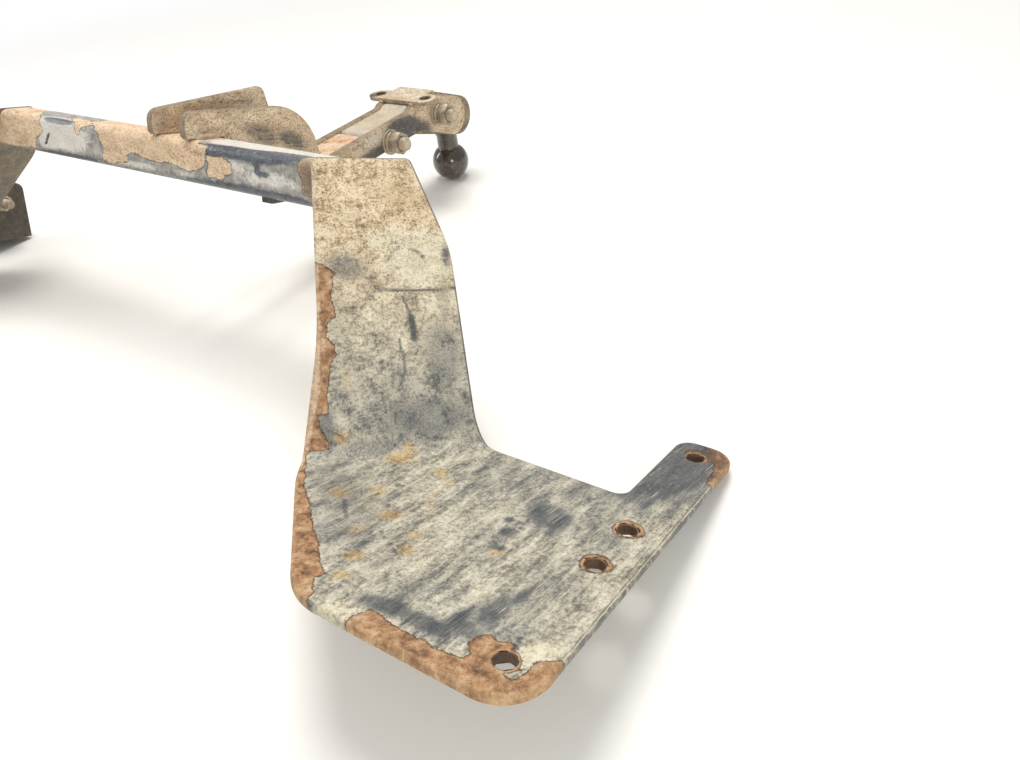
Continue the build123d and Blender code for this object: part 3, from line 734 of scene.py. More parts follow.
def left_outline(step):
    _, bend_y, turn = LEFT_BEND
    margin = 18.5
    front = (TUBE_Y - TUBE / 2 - bend_y - LEFT_RUN * sin(turn)) / cos(turn) - 12.0
    rear = (TUBE_Y + TUBE / 2 - bend_y - LEFT_RUN * sin(turn)) / cos(turn) + 6.0
    corner = (FRONT_Y - bend_y + margin * sin(turn)) / cos(turn)
    neck = [20, (corner, -margin, 30), (-60.0, -margin, 60), (front, LEFT_RUN, 4), (rear, LEFT_RUN, 12),
            (rear + 23.0, LEFT_RUN - 44.0, 18)]
    return unrolled(LEFT_BEND, neck, step)


def plate_holes(bend):
    return [(*in_neck(HOLE_X, y, bend), HOLE_R) for y in HOLE_YS]


# Where the right plate's coat has peeled, and its marks, as places across and along the flat plate
BARE_AREAS = (
    ((-90, 160), (-52, 158), (-43, 154), (-34, 147), (-36, 138), (-39, 132), (-36, 116), (-34, 109),
     (-40, 106), (-43, 95), (-38, 87), (-36, 79), (-41, 71), (-44, 44), (-43, 31), (-52, 32), (-46, 13),
     (-44, 5), (-51, 4), (-57, 6), (-61, 0), (-61, -38), (-59, -58), (-54, -95), (-52, -117), (-49, -141),
     (-54, -144), (-55, -155), (-58, -165), (-55, -171), (-90, -190)),
    ((-52, -184), (-41, -188), (-34, -181), (-24, -176), (-19, -182), (-9, -195), (-2, -203), (14, -217),
     (20, -222), (24, -220), (26, -210), (32, -207), (38, -206), (41, -212), (50, -216), (53, -212),
     (46, -223), (39, -232), (39, -237), (43, -241), (47, -239), (52, -234), (59, -231), (70, -231),
     (84, -250), (40, -300), (-90, -190)),
    ((222, -76), (236, -58), (244, -42), (247, -28), (243, -18), (262, -4), (300, -30), (250, -100)),
)
BARE_RINGS = ((41.6, -227.4, 9.0), (112.9, -156.2, 10.0), (145.4, -123.6, 10.5), (235.0, -36.0, 11.0))
DARK_SPOTS = (
    (98, -101, 12, 15, 0.95, 10), (71, -101, 3.5, 3, 1.1), (66, -114, 4.5, 4, 1.1), (58, -131, 3.5, 2.5, 1),
    (-39, -85, 2, 2, 0.9), (2, -47, 2, 2.5, 0.9), (-7, -72, 2, 2, 0.9), (-14, -176, 16, 6, 0.9, -38),
    (6, -194, 13, 6, 1, -42), (26, -202, 8, 7, 0.8, -45), (44, -189, 15, 6, 0.95, 42),
    (22, -192, 13, 4, 0.8, 35), (60, -180, 10, 4, 0.9, 40), (30, 26, 44, 20, 0.52), (46, 76, 18, 38, 0.5),
    (50, 120, 6, 30, 0.5), (8, 50, 26, 22, 0.35), (70, -40, 40, 16, 0.4, 42), (130, -70, 40, 14, 0.45, 42),
    (206, -40, 58, 32, 1.15, 43), (96, -60, 50, 34, 0.4, 40), (120, -96, 40, 18, 0.35, 42),
    (-46, 20, 7, 22, 0.6), (-34, -62, 26, 70, 0.52, 8), (-30, 60, 26, 30, 0.3),
    (-26, 152, 20, 13, 0.62, -12), (-34, 110, 14, 26, 0.4), (55, 160, 4, 11, 0.8), (-34, 196, 18, 26, 0.28),
    (215, -66, 26, 8, 0.55, 45), (-10, 4, 30, 10, 0.45), (-18, 196, 12, 6, 0.35, 20),
    (6, -160, 26, 12, 0.4, 30), (128, -132, 14, 22, 0.4), (-6, 174, 26, 8, 0.3),
    (40, -130, 26, 16, 0.3, 40), (72, -186, 40, 20, 0.42, 42),
)
# Dark strokes; the last one runs along the flange's outer rim and is painted shade there.
DARK_LINES_AND_RIM_SHADE = (
    (1.6, 0.8, ((17, 126), (21, 116), (24, 104), (22, 90))), (3.2, 0.9, ((23, 108), (25, 90))),
    (1.5, 0.85, ((-4, 132), (30, 131), (60, 132))), (1.6, 0.7, ((13, 89), (15, 74), (16, 62))),
    (2.4, 0.62, ((7, 156), (12, 164), (18, 169))), (2.6, 0.62, ((26, 167), (32, 164), (37, 158))),
    (0.7, 0.8, ((-14, -101), (-8, -118), (-4, -134))), (0.8, 0.9, ((-35, -61), (-34, -92))),
    (1.6, 1.0, ((53, -212), (46, -223))), (2.2, 1.2, ((66, -241), (150, -157), (238, -69))),
)
CREAM_SPOTS = (
    (36, 158, 26, 22, 1.1), (8, 174, 20, 16, 0.7), (42, 118, 18, 10, 0.7), (-44, -176, 16, 8, 0.7, -20),
    (86, -196, 30, 9, 0.25, 43), (114, -174, 20, 9, 0.4, 43), (58, -226, 14, 8, 0.8, 20),
    (6, 168, 46, 20, 0.45), (20, 142, 34, 14, 0.4), (-20, 100, 18, 36, 0.35), (24, 100, 26, 20, 0.3),
    (-24, -60, 16, 40, 0.35, 20), (0, -130, 40, 20, 0.3, 40), (60, -90, 14, 10, 0.3),
    (124, -158, 12, 8, 0.5),
)
# Pale strokes: those along the neck's left rim and the flange's left, front and outer rims are painted
# highlights on the rounded edges; the short one at (16, 85) is a cream mark.
CREAM_MARK_AND_RIM_HIGHLIGHT_LINES = (
    (4.0, 0.6, ((-50, 250), (-50, 150))),
    (4.0, 0.85, ((-50, 150), (-51, 90), (-53, 50), (-60, 20), (-67, -8))),
    (3.0, 0.6, ((-71, -20), (-71, -110), (-69, -150))), (2.2, 0.7, ((-60, -175), (-20, -214), (20, -252))),
    (2.5, 0.8, ((16, 88), (16, 82))), (0.9, 0.9, ((66, -238), (150, -154), (232, -72))),
)
OCHRE_SPOTS = (
    (7, -8, 9, 7, 1), (14, 2, 5, 5, 0.9), (-38, -51, 6, 6, 0.9), (-6, -84, 7, 5, 0.9), (0, -124, 5, 5, 0.9),
    (-31, -125, 7, 5, 0.9), (-40, -143, 5, 4, 0.9), (34, -34, 5, 5, 0.8), (-28, -96, 6, 6, 0.7),
    (8, -110, 4, 4, 0.8), (38, -50, 6, 4, 0.7), (24, -62, 4, 4, 0.7), (22, -76, 4, 3, 0.7),
    (-12, -52, 6, 8, 0.7), (-22, -70, 5, 5, 0.6), (-36, 14, 6, 5, 0.8), (20, 214, 14, 20, 0.5, 60),
    (-30, 60, 5, 14, 0.4), (56, -134, 6, 4, 0.7), (56, 216, 6, 24, 0.6, -60),
)


def near_plate_marks(flat):
    s = flat[:, 1]
    bare = np.max([depth_inside(flat, area) for area in BARE_AREAS], axis=0)
    bare = np.maximum(bare, -gap_to_holes(flat, BARE_RINGS))
    dark = np.maximum(spots(flat, *DARK_SPOTS), lines(flat, *DARK_LINES_AND_RIM_SHADE))
    # painted shade: the walls of the four holes are darkened
    dark += 2.2 * (gap_to_holes(flat, plate_holes(RIGHT_BEND)) < 0.6)
    pale = np.maximum(spots(flat, *CREAM_SPOTS), lines(flat, *CREAM_MARK_AND_RIM_HIGHLIGHT_LINES))
    return marks(len(flat), spots(flat, *OCHRE_SPOTS), dark, pale, np.clip((30 - s) / 40, 0.12, 1),
                 np.clip((s - 40) / 190, 0, 1), -bare)


def far_plate_marks(flat):
    upper = np.clip((flat[:, 2] + PLATE_T / 2) / 2, 0, 1)
    dark = spots(flat, (40, 60, 30, 60, 0.4), (60, -90, 26, 14, 0.9, 40), (20, -150, 30, 10, 0.7, 30),
                 (-10, 30, 50, 16, 0.5))
    pale = upper * spots(flat, (20, 160, 40, 30, 0.5), (70, -150, 30, 12, 0.6, 40))
    bare = spots(flat, (30, -250, 40, 14, 1, -45), (10, 240, 40, 8, 0.9), (80, -166, 60, 5, 0.9, 10)) * 12 - 6
    return marks(len(flat), spots(flat, (0, -60, 60, 60, 0.3)), dark, pale, 0.5 * upper, upper, -bare)


PLATE_RIM = 2.4
PLATE_WAVE = 0.12
near_plate = slab(right_outline(step=2.5), plate_place(1, RIGHT_BEND), PLATE_T, rim=PLATE_RIM, step=2.4,
                  holes=plate_holes(RIGHT_BEND), turns=4, wave=PLATE_WAVE)
near_plate.build("near_side_plate", "right_side_plate", "side_plate", plate_paint, near_plate_marks)
far_plate = slab(left_outline(step=4.0), plate_place(-1, LEFT_BEND), PLATE_T, rim=PLATE_RIM, step=5.0,
                 holes=plate_holes(LEFT_BEND), wave=PLATE_WAVE)
far_plate.build("far_side_plate", "left_side_plate", "side_plate", far_paint_and_shade, far_plate_marks)

# Crossbar

TUBE_RINGS = 180
SECTION_STEP = 2.5
DENT = 0.15


def neck_back_x(y, z, bend):
    """Where the back of a neck crosses a line along X, from the centre plane, in the pitched frame."""
    bend_x, bend_y, aim = bend
    along = PLATE_T * sin(SLOPE)
    base = Vector((bend_x - along * cos(aim), bend_y + along * sin(aim), PLATE_T - PLATE_T * cos(SLOPE)))
    normal = Vector((sin(SLOPE) * cos(aim), -sin(SLOPE) * sin(aim), cos(SLOPE)))
    return base.x - (normal.y * (y - base.y) + normal.z * (z - base.z)) / normal.x


# Crust that holds, as places along X and up round the section from the middle of the front face
CRUSTS = (
    ((-400, -24), (-236, -16), (-233, -13), (-235, -9), (-231, -5), (-225, -2), (-217, 5), (-219, 10),
     (-221, 14), (-218, 18), (-236, 30), (-250, 40), (-236, 70), (-400, 70)),
    ((-179, 31), (-157, 18), (-155, 13), (-152, 7), (-147, 11), (-138, 18), (-125, 18), (-139, 27),
     (-150, 34)),
    ((-150, 60), (-134, 24), (-122, 18), (-115, 12), (-113, 5), (-109, 0), (-109, -6), (-112, -12),
     (-102, -17), (-86, -13), (-70, -10), (-71, -5), (-62, -1), (-42, -3), (-25, -6), (0, -3), (12, -6),
     (28, -8), (40, -5), (49, 2), (49, 10), (54, 18), (37, 19), (34, 30), (40, 44), (34, 70), (-150, 70)),
    ((52, 9), (73, 10), (84, 5), (84, -3), (70, -10), (51, -10)),
    ((170, 18), (168, 10), (172, 3), (173, -8), (181, -9), (230, -14), (230, 40), (169, 31)),
)


def tube_marks(flat):
    """Marks from the place along X and the way round the section."""
    x, way = flat[:, 0], flat[:, 1]
    held = np.where((way > 62) | (way < -26), 20.0, -20.0)
    for crust in CRUSTS:
        held = np.maximum(held, depth_inside(flat, crust))
    dark = spots(flat, (100, 17, 50, 5, 1.4), (140, 22, 34, 8, 1.4, 10), (60, 15, 14, 5, 1.2),
                 (118, 6, 3, 8, 1, 20), (125, 2, 8, 3, 0.8), (100, -20, 76, 7, 1.3),
                 (150, -18, 30, 5, 1.3), (-186, 18, 24, 3, 1.2), (-170, -20, 70, 7, 0.9),
                 (-40, -21, 90, 5, 0.7), (-8, -14, 24, 3, 0.5))
    scores = lines(flat, (1.6, 1.5, ((-206, 2), (-209, -2), (-214, -8))),
                   (1.2, 1.3, ((117, 10), (119, 6), (115, 3), (124, 1), (131, 1))))
    dark = np.maximum(dark, scores)
    dark = np.where(held > 0, np.maximum(dark * 0.35, spots(flat, (178, 2, 14, 26, 0.7))), dark)
    # painted highlights: two small glints on the glossy blue band, at 93 and 113 along X, are kept out of the
    # dark here and made pale below
    dark -= spots(flat, (93, 18.5, 3, 1.4, 1), (113, 18.5, 3, 1.4, 1))
    pale = spots(flat, (-188, 4, 40, 15, 1.4), (112, 40, 80, 12, 1.3), (60, 38, 22, 16, 1),
                 (93, 18.5, 3, 1.4, 0.9), (113, 18.5, 3, 1.4, 0.9), (130, -2, 40, 7, 0.75),
                 (96, 4, 24, 6, 0.65), (-60, -12, 50, 3, 0.7), (20, -12, 20, 3, 0.6))
    pale = np.where(held > 0, spots(flat, (-20, 42, 60, 10, 0.45), (-70, 20, 30, 4, 0.4)), pale)
    ochre = spots(flat, (-30, 10, 50, 12, 0.3), (-100, 2, 16, 20, 0.35), (66, 0, 16, 10, 0.2))
    return marks(len(flat), ochre, dark, pale, tint=np.where((x > -245) & (x < 165), 0.9, 0.6), peel=held)


def build_tube():
    shell = Shell()
    half = TUBE / 2
    square = ((half, -half), (half, half), (-half, half), (-half, -half))
    section = rounded_outline([(*corner, TUBE_R) for corner in square], SECTION_STEP)
    # the run starts in the middle of the front face, so that the way round grows over the top
    first = min(range(len(section)), key=lambda i: (section[i] - Vector((-half, 0))).length)
    section = section[first:] + section[:first]
    section = [section[0]] + section[:0:-1]
    way = [0.0]
    for a, b in zip(section, section[1:]):
        way.append(way[-1] + (b - a).length)
    total = way[-1] + (section[0] - section[-1]).length
    way = [w if w < total / 2 else w - total for w in way]
    rings = []
    for k in range(TUBE_RINGS + 1):
        ring = []
        for p, w in zip(section, way):
            y = TUBE_Y + p.x
            z = TUBE_TOP - half + p.y
            left, right = -neck_back_x(y, z, LEFT_BEND), neck_back_x(y, z, RIGHT_BEND)
            x = left + (right - left) * k / TUBE_RINGS
            dent = DENT * noise.noise(Vector((x * 0.015, w * 0.03, 3.0)))
            ring.append(shell.add(pitched(x, y + dent, z), (x, w, 0.0), COATED))
        rings.append(ring)
    shell.skin(rings)
    return shell


build_tube().build("crossbar_tube", "crossbar", "crossbar", tube_paint, tube_marks, join=False)

# Cheek plates, and the forging with its neck and ball

OUTLINE_STEP = 2.5
CHEEK_RIM = 1.6
CHEEK_GRID = 3.0


def tangent_corner(point, centre, radius, side):
    """Corner where the tangent from a point to a round end meets its rearmost line."""
    dy = centre[0] - point[0]
    dz = centre[1] - point[1]
    angle = atan2(dz, dy) + side * asin(radius / hypot(dy, dz))
    rear = centre[0] + radius
    return rear, point[1] + tan(angle) * (rear - point[0]), radius * 0.97


def head_corners(start, slope, drop, drop_z, inset_by, centre, radius):
    """Corners of the arm's top, its step and the round head, up to where the underside drops."""
    head = (slope, HEAD_TOP - inset_by)
    drop = (drop, drop_z)
    return [*start, (HEAD_STEP, ARM_TOP - inset_by, STEP_R), (HEAD_START, head[1], STEP_R), (*head, HEAD_R),
            tangent_corner(head, centre, radius, 1), tangent_corner(drop, centre, radius, -1),
            (*drop, HEAD_R)]


def cheek_outline(front_rise, rear_rise, rear, rear_r):
    front = TUBE_Y - TUBE / 2
    back = TUBE_Y + TUBE / 2
    top = turned_level(back + rear, TUBE_TOP + rear_rise)
    fin = [(*turned_level(front, TUBE_TOP), 0), (*turned_level(front - 3, TUBE_TOP + 3), 0),
           (*turned_level(front - 3, TUBE_TOP + front_rise), 12), (*top, rear_r), (top[0] + 2, ARM_TOP, 10)]
    corners = head_corners(fin, slope=337.0, drop=302.0, drop_z=ARM_BOTTOM, inset_by=0.0, centre=CHEEK_REAR,
                           radius=CHEEK_REAR_R)
    under = [(150.0, ARM_BOTTOM, 40), (*turned_level(back, TUBE_TOP - TUBE), 0)]
    return rounded_outline([*corners, *under, (*turned_level(back, TUBE_TOP), 0)], OUTLINE_STEP)


def forging_outline():
    under = ARM_BOTTOM - 3
    tongue = [(FORGING_START, under, STEP_R), (FORGING_START, ARM_TOP - 1, STEP_R)]
    corners = head_corners(tongue, slope=349.0, drop=294.0, drop_z=under, inset_by=1.0, centre=FORGING_REAR,
                           radius=FORGING_R)
    return rounded_outline(corners, OUTLINE_STEP)


def near_cheek_marks(flat):
    dark = spots(flat, (62, 186, 26, 9, 0.7, -30), (96, 168, 22, 9, 0.75, -35), (272, 112, 26, 12, 1.5, -15),
                 (244, 105, 22, 8, 1, -10), (216, 105, 34, 8, 0.9), (302, 102, 20, 10, 0.9, -20),
                 (20, 210, 10, 4, 0.4))
    strokes = lines(flat, (2.2, 0.55, ((0, 214), (20, 208), (34, 212))),
                    (2.2, 0.5, ((30, 196), (44, 204), (60, 198))))
    pale = spots(flat, (220, 122, 40, 7, 0.7), (-10, 216, 6, 12, 0.6), (30, 172, 30, 6, 0.5, -18))
    ochre = spots(flat, (116, 180, 7, 22, 0.35, 20), (124, 158, 6, 18, 0.35, 8), (160, 122, 30, 8, 0.5))
    tint = np.where(flat[:, 0] < 135, 0.95, 0.35) + spots(flat, (350, 110, 50, 34, 0.5))
    return marks(len(flat), ochre, np.maximum(dark, strokes), pale, tint=tint)


def far_cheek_marks(flat):
    dark = spots(flat, (-10, 222, 12, 16, 0.5), (14, 212, 24, 12, 0.45), (56, 212, 40, 5, 0.5, -14))
    dark = np.maximum(dark, lines(flat, (2.4, 0.6, ((36, 224), (60, 216), (100, 203)))))
    return marks(len(flat), spots(flat, (20, 224, 26, 8, 0.3)), dark, spots(flat, (92, 214, 26, 18, 0.5)),
                 tint=np.where(flat[:, 0] < 135, 0.9, 0.3))


def forging_marks(flat):
    dark = spots(flat, (400, 90, 18, 26, 0.35), (384, 70, 24, 8, 0.5), (340, 84, 40, 8, 0.5))
    pale = spots(flat, (396, 108, 10, 8, 0.4), (254, 130, 56, 5, 1.4), (320, 132, 30, 4, 0.8))
    return marks(len(flat), spots(flat, (250, 128, 40, 5, 0.5)), dark, pale, tint=0.45)


def upright(face_x):
    """Places a flat outline in an upright plane; h runs towards +X."""
    return lambda y, z, h: level(face_x + h, y, z)


near_cheek = slab(cheek_outline(front_rise=25.0, rear_rise=25.0, rear=109.0, rear_r=60.0), upright(CHEEK_OUT),
                  CHEEK_T, CHEEK_RIM, CHEEK_GRID, wave=0.2)
near_cheek.build("near_cheek", "right_cheek_plate", "cheek_plate", cheek_paint, near_cheek_marks)
far_cheek = slab(cheek_outline(front_rise=23.0, rear_rise=40.5, rear=94.0, rear_r=8.0), upright(-CORE / 2),
                 CHEEK_T, CHEEK_RIM, CHEEK_GRID, wave=0.2)
far_cheek.build("far_cheek", "left_cheek_plate", "cheek_plate", cheek_paint, far_cheek_marks)
forging = slab(forging_outline(), upright(FORGING_WIDTH / 2), FORGING_WIDTH, rim=4.0, step=3.5, turns=5,
               wave=0.3)
forging.build("ball_forging", "tow_ball", "ball", forging_paint, forging_marks)

AXIS_R = 0.001            # stands for a point on the axis
BALL_STEPS = 60
BLEND_STEPS = 8
NECK_FOOT = ((0.0, 62.0), (1.2, 65.0), (1.4, 72.0))     # radius added, and height
TURNED_STEPS = 96


def lathe(shell, profile, place, count, rim_at=()):
    """Turned shape: profile gives (radius, height) pairs, and rim_at those that are worn."""
    turns = [2 * pi * i / count for i in range(count)]
    rings = []
    for k, (r, z) in enumerate(profile):
        rings.append([shell.around(place, r, t, z, 0.0 if k in rim_at else 5.0) for t in turns])
    shell.skin(rings)


def ball_profile():
    """From the crown's flat to the top of the neck, inside the forging."""
    start = asin(-BALL_Z / BALL_R)
    centre_r = NECK_R + NECK_BLEND
    centre_z = BALL_Z + sqrt((BALL_R + NECK_BLEND) ** 2 - centre_r ** 2)
    end = atan2(centre_z - BALL_Z, centre_r)
    points = [(AXIS_R, 0.0), (sqrt(BALL_R ** 2 - BALL_Z ** 2), 0.0)]
    for k in range(1, BALL_STEPS + 1):
        t = start + (end - start) * k / BALL_STEPS
        points.append((BALL_R * cos(t), BALL_Z + BALL_R * sin(t)))
    for k in range(1, BLEND_STEPS + 1):
        t = end + pi - end * k / BLEND_STEPS
        points.append((centre_r + NECK_BLEND * cos(t), centre_z + NECK_BLEND * sin(t)))
    return [*points, (NECK_R, centre_z + 2), *((NECK_R + more, z) for more, z in NECK_FOOT)]


ball = Shell()
lathe(ball, ball_profile(), lambda x, y, z: level(x, BALL_Y + y, z), TURNED_STEPS)
ball.build("ball_and_neck", "tow_ball", "ball", ball_steel())

# Fasteners, turned about X

HEX_STEPS = 96
HEX_CHAMFER = radians(28)
THREAD_STEPS = 40
WASHER_STEPS = 64
SPLIT_STEPS = 60
SLIT_START = radians(20)
SLIT = radians(12)
PLAY = 0.3
NUT_PLAY = 0.2
BOLT_HEAD = 10.0
BOLT_THREAD = (50.0, 83.5, 2.0, 0.85)     # start, end, pitch and depth
CLAMP_WASHER_R = 15.0
CLAMP_SPRING_R = 13.0
CLAMP_NUT = 13.0
STUD_HEAD = 7.5
STUD_THREAD = (8.0, 35.3, 1.75, 0.75)
STUD_WASHER_R = 12.0
STUD_NUT = 10.8


def along_x(to_frame, x0, y, z, way):
    """Places a turned shape with its axis along X."""
    return lambda a, b, c: to_frame(x0 + way * c, y + a, z + b)


def add_hex(shell, place, across, height, bore=0.0):
    """Hexagon with its outer corners turned off, and the inner ones too on a nut, which has a bore."""
    crown = across / 2 * 0.96
    hollow = max(bore, AXIS_R)
    mouth = bore + 1.0 if bore else AXIS_R
    rings = [[] for _ in range(10 if bore else 8)]
    for i in range(HEX_STEPS):
        t = 2 * pi * i / HEX_STEPS
        r = across / 2 / cos((t + pi / 6) % (pi / 3) - pi / 6)
        round_r = min(r, crown)
        low = max(0.0, (r - crown) * tan(HEX_CHAMFER))
        top = height - low
        profile = ((hollow, 0.0, 2.0), (round_r - 0.3, 0.0, 2.0), (r, low if bore else 0.0, 0.0),
                   (r, top - 0.1, 0.3), (r - 0.15, top + 0.05, 0.0), (round_r, height - 0.15, 0.0),
                   (round_r - 0.4, height, 1.0), (mouth, height, 2.0), (bore, height - 1.0, 1.0),
                   (bore, 0.0, 3.0))
        for ring, (size, z, rim) in zip(rings, profile):
            ring.append(shell.around(place, size, t, z, rim))
    shell.skin(rings)


def add_thread(shell, place, radius, start, end, pitch, depth):
    """Shank whose end carries a rolled thread."""
    steps = int((end - start) / (pitch / 5))
    turns = [2 * pi * i / THREAD_STEPS for i in range(THREAD_STEPS)]
    rings = []
    for k in range(steps + 1):
        z = start + (end - start) * k / steps
        fade = min(1.0, (end - z) / pitch)
        ring = []
        for t in turns:
            valley = 0.5 - 0.5 * cos(2 * pi * z / pitch - t)
            r = radius - depth * valley - (1 - fade) * depth * 1.4
            ring.append(shell.around(place, r, t, z, 2.0 * valley))
        rings.append(ring)
    for r, z in ((0.6 * radius, end), (0.01, end - 0.2)):
        rings.append([shell.add(place(r * cos(t), r * sin(t), z), (0, 0, end), 2.0) for t in turns])
    shell.skin(rings)


def add_washer(shell, place, inner, outer, thick):
    soft = 0.5
    part = soft * 0.3
    profile = ((inner, 0.0), (outer - part, 0.0), (outer, part), (outer, thick - soft),
               (outer - part, thick - part), (outer - soft, thick), (inner + 0.3, thick),
               (inner, thick - 0.3), (inner, 0.0))
    lathe(shell, profile, place, WASHER_STEPS, rim_at=(3, 4, 5))


def add_spring_washer(shell, place, inner, outer, thick):
    """Split ring with square ends."""
    section = ((inner, 0.1), (outer, 0.1), (outer, thick - 0.1), (inner, thick - 0.1))
    rings = []
    for i in range(SPLIT_STEPS + 1):
        t = SLIT_START + (2 * pi - SLIT) * i / SPLIT_STEPS
        rings.append([shell.around(place, r, t, z, 0.4) for r, z in section])
    shell.skin(rings)
    shell.faces += [tuple(rings[0]), tuple(rings[-1])]


bolts, washers, springs, nuts, stud, stud_washer, stud_nut = (Shell() for _ in range(7))
for y in BOLT_YS:
    def clamp_at(x, way=1):
        return along_x(level, x, y, BOLT_Z, way)

    add_hex(bolts, clamp_at(-CHEEK_OUT, -1), BOLT_AF, BOLT_HEAD)
    add_thread(bolts, clamp_at(-CHEEK_OUT), BOLT_R, *BOLT_THREAD)
    add_washer(washers, clamp_at(CHEEK_OUT), BOLT_R + PLAY, CLAMP_WASHER_R, WASHER_T)
    add_spring_washer(springs, clamp_at(CHEEK_OUT + WASHER_T), BOLT_R + PLAY, CLAMP_SPRING_R, SPRING_T)
    add_hex(nuts, clamp_at(CHEEK_OUT + WASHER_T + SPRING_T), BOLT_AF, CLAMP_NUT, BOLT_R + NUT_PLAY)


def stud_at(x, way=1):
    return along_x(pitched, x, STUD_Y, STUD_Z, way)


add_hex(stud, stud_at(-STUD_FACE - PLATE_T, -1), STUD_AF, STUD_HEAD)
add_thread(stud, stud_at(-STUD_FACE - PLATE_T), STUD_R, *STUD_THREAD)
add_washer(stud_washer, stud_at(-STUD_FACE), STUD_R + PLAY, STUD_WASHER_R, STUD_WASHER_T)
add_hex(stud_nut, stud_at(-STUD_FACE + STUD_WASHER_T), STUD_AF, STUD_NUT, STUD_R + NUT_PLAY)
fasteners = (
    (bolts, "clamp_bolt_pair", "clamp_bolts"), (washers, "clamp_washer_pair", "clamp_washers"),
    (springs, "clamp_spring_washer_pair", "clamp_spring_washers"), (nuts, "clamp_nut_pair", "clamp_nuts"),
    (stud, "bracket_stud", "bracket_bolt"), (stud_washer, "bracket_stud_washer", "bracket_washer"),
    (stud_nut, "bracket_stud_nut", "bracket_nut"),
)
for shell, name, node in fasteners:
    shell.build(name, node, "fastener", zinc)

# Eye plate

LUG_R = 14.9
EYE_CORNERS = ((-50.5, -22, LUG_R), (50.5, -22, LUG_R), (50.5, 8, LUG_R), (28, 6.5, 2), (28, 22, 3),
               (-28, 22, 3), (-28, 6.5, 2), (-50.5, 8, LUG_R))


def eye_marks(flat):
    ring = np.hypot(np.abs(flat[:, 0]) - EYE_X, flat[:, 1] - EYE_Y)
    dark = np.clip((9.0 - ring) / 2, 0, 1) + spots(flat, (-44, -18, 12, 8, 0.9, 30))
    ochre = spots(flat, (-10, -16, 24, 6, 0.6), (30, 10, 14, 8, 0.4))
    return marks(len(flat), ochre, dark, spots(flat, (4, 6, 26, 14, 0.5)), tint=0.25)


def on_head(a, b, h):
    return level(a, EYE_PLATE_Y + b, HEAD_TOP + EYE_PLATE_T + h)


eye = slab(rounded_outline(EYE_CORNERS, step=1.5), on_head, EYE_PLATE_T, rim=1.0, step=2.0,
           holes=[(-EYE_X, EYE_Y, EYE_R), (EYE_X, EYE_Y, EYE_R)], wave=0.25)
eye.build("eye_plate_cut", "eye_plate", "eye_plate", eye_plate_paint, eye_marks)

# Weld beads

BEAD_STEP = 0.45
BEAD_TURNS = 8
RIPPLE = 1.9
LONG_BEAD = 26.0
EYE_BEAD = 7.4
BEAD_LEG = 6.0
SMALL_LEG = 4.0


def add_bead(shell, place, length, leg, seed):
    """Bead in a corner: place(along, out, up). Its face swells and ripples."""
    count = int(length / BEAD_STEP)
    rings = []
    for k in range(count + 1):
        along = -length / 2 + length * k / count
        close = min(1.0, 0.25 + min(k, count - k) * 0.16)
        ripple = abs(sin(pi * along / RIPPLE + 0.6 * noise.noise(Vector((along * 0.4, seed, 0)))))
        swell = 1.0 + 0.16 * noise.noise(Vector((along * 0.12, seed, 2.0)))
        ring = []
        for j in range(BEAD_TURNS + 1):
            t = pi / 2 * j / BEAD_TURNS
            crest = sin(2 * t)
            r = leg * close * min(swell * (0.74 + (0.1 + 0.06 * ripple) * crest), 0.99)
            point = place(along + 0.9 * crest, r * cos(t), r * sin(t))
            ring.append(shell.add(point, (along, j * 1.0, seed), 2.0))
        rings.append(ring)
    shell.skin(rings, closed=False)


def on_top(side):
    return lambda a, o, u: pitched(side * (CHEEK_OUT + o), TUBE_Y + a, TUBE_TOP + u)


def on_rear(side):
    return lambda a, o, u: pitched(side * (CHEEK_OUT + o), TUBE_Y + TUBE / 2 + u, TUBE_TOP - TUBE / 2 + a)


def at_eye_plate(side):
    return lambda a, o, u: level(side * (CHEEK_OUT - CHEEK_T / 2) + a, 295.0 - o, HEAD_TOP + u)


tops, rears, eye_beads, foot = (Shell() for _ in range(4))
for side in (-1, 1):
    add_bead(tops, on_top(side), LONG_BEAD, BEAD_LEG, side + 2.0)
    add_bead(rears, on_rear(side), LONG_BEAD, BEAD_LEG, side + 5.0)
    add_bead(eye_beads, at_eye_plate(side), EYE_BEAD, SMALL_LEG, side + 8.0)
add_bead(foot, lambda a, o, u: pitched(-527.0 + a, -65.0 - o, PLATE_T + u), LONG_BEAD, SMALL_LEG, 12.0)
beads = (
    (tops, "beads_on_crossbar_top", "cheek_top_welds"), (rears, "beads_on_crossbar_rear", "cheek_rear_welds"),
    (eye_beads, "beads_at_eye_plate", "eye_plate_welds"), (foot, "bead_at_bracket", "bracket_weld"),
)
for shell, name, node in beads:
    shell.build(name, node, "weld", weld_metal, join=False)

# Carried-over CAD pieces
carried = (("arm_spacer", spacer_paint), ("crossbar_tab", tab_paint), ("angle_bracket", bracket_paint))
for node, material in carried:
    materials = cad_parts[node].data.materials
    materials.clear()
    materials.append(material)

# Floor, light and camera

FADE_FROM = 1.1
FADE_TO = 2.1
FLOOR_HALF = 12.0
SKY_TONE = (1.0, 0.995, 0.985, 1.0)
SKY_STRENGTH = 0.56
WHITE = (1.0, 1.0, 1.0, 1.0)
LENS = 28.62
SENSOR_WIDTH = 36.0
CLIP_START = 0.01
CAMERA_LEVEL = (692.0, -460.8, 456.0)
CAMERA_FORWARD = (-0.483, 0.634, -0.604)
CAMERA_UP = (-0.251, 0.560, 0.789)


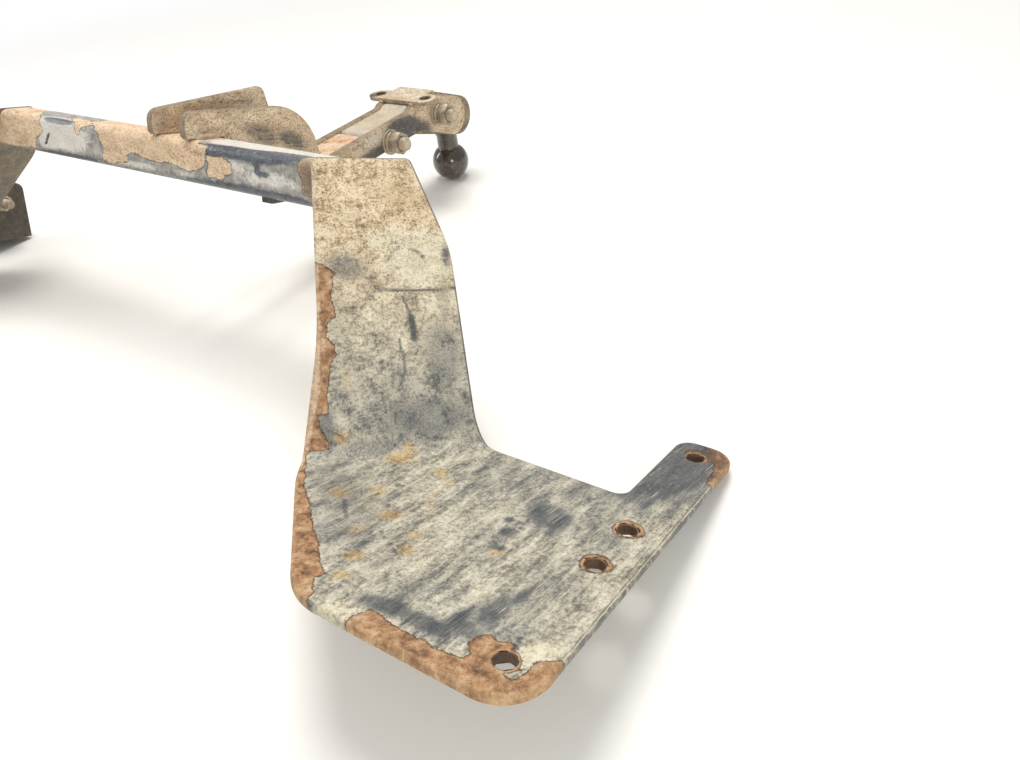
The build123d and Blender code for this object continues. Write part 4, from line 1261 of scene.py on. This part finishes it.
def floor_material():
    """Plain pale floor with a faint change of tone and gloss, white in the distance like a backdrop."""
    web = Web(bpy.data.materials.new("floor_white"))
    where = web.node("TexCoord").outputs["Object"]
    fine = web.noise(where, 60, 4, 0.6)
    colour = web.pair(web.noise(where, 1.2, 3, 0.5), ((247, 245, 239), (252, 251, 247)), 0.3, 0.7)
    lit = web.surface(colour, web.plus(0.4, fine, 0.15), fine, 0.02)
    away = web.node("VectorMath", {0: where}, operation="LENGTH").outputs["Value"]
    seen = web.node("LightPath").outputs["Is Camera Ray"]
    fade = web.times(seen, web.step(away, FADE_FROM, FADE_TO))
    glow = web.node("Emission").outputs[0]
    return web.finish(web.node("MixShader", {0: fade, 1: lit, 2: glow}).outputs[0])


def put_on_stage(name, data):
    """Object that belongs to the picture and not to the part."""
    stood = bpy.data.objects.new(name, data)
    bpy.context.scene.collection.objects.link(stood)
    return stood


def lamp(name, place, aim, size, watts, tone=(1, 1, 1)):
    data = bpy.data.lights.new(name, "AREA")
    data.shape = "ELLIPSE"
    data.size, data.size_y = size
    data.energy = watts
    data.color = tone
    stood = put_on_stage(name, data)
    stood.location = place
    stood.rotation_euler = (Vector(aim) - Vector(place)).to_track_quat("-Z", "Y").to_euler()


ground = bpy.data.meshes.new("floor")
corners = [(a * FLOOR_HALF, b * FLOOR_HALF, 0) for a, b in ((-1, -1), (1, -1), (1, 1), (-1, 1))]
ground.from_pydata(corners, [], [(0, 1, 2, 3)])
ground.materials.append(floor_material())
put_on_stage("floor", ground)
lamp("overhead", (-0.15, 0.7, 2.5), (0.1, 0.0, 0.0), (1.3, 1.3), 46.0, (1.0, 0.985, 0.96))
lamp("window", (-1.75, -0.45, 0.95), (0.1, 0.1, 0.1), (0.3, 1.2), 7.0, (1.0, 0.99, 0.97))
lamp("glint", (1.35, -0.91, 0.54), (0.0, 0.33, 0.03), (0.5, 0.5), 4.6)

studio = Web(bpy.data.worlds.new("studio"))
seen = studio.node("LightPath").outputs["Is Camera Ray"]
soft = studio.node("Background", {0: SKY_TONE, 1: SKY_STRENGTH}).outputs[0]
white = studio.node("Background", {0: WHITE}).outputs[0]
studio.node("OutputWorld", {0: studio.node("MixShader", {0: seen, 1: soft, 2: white}).outputs[0]})
scene = bpy.context.scene
scene.world = studio.owner
scene.view_settings.view_transform = "Standard"

camera_data = bpy.data.cameras.new("camera")
camera_data.lens = LENS
camera_data.sensor_width = SENSOR_WIDTH
camera_data.clip_start = CLIP_START
camera = put_on_stage("camera", camera_data)
forward = Vector(CAMERA_FORWARD).normalized()
right = forward.cross(Vector(CAMERA_UP)).normalized()
turn = Matrix((right, right.cross(forward), -forward)).transposed().to_4x4()
camera.matrix_world = Matrix.Translation(level(*CAMERA_LEVEL)) @ turn
scene.camera = camera
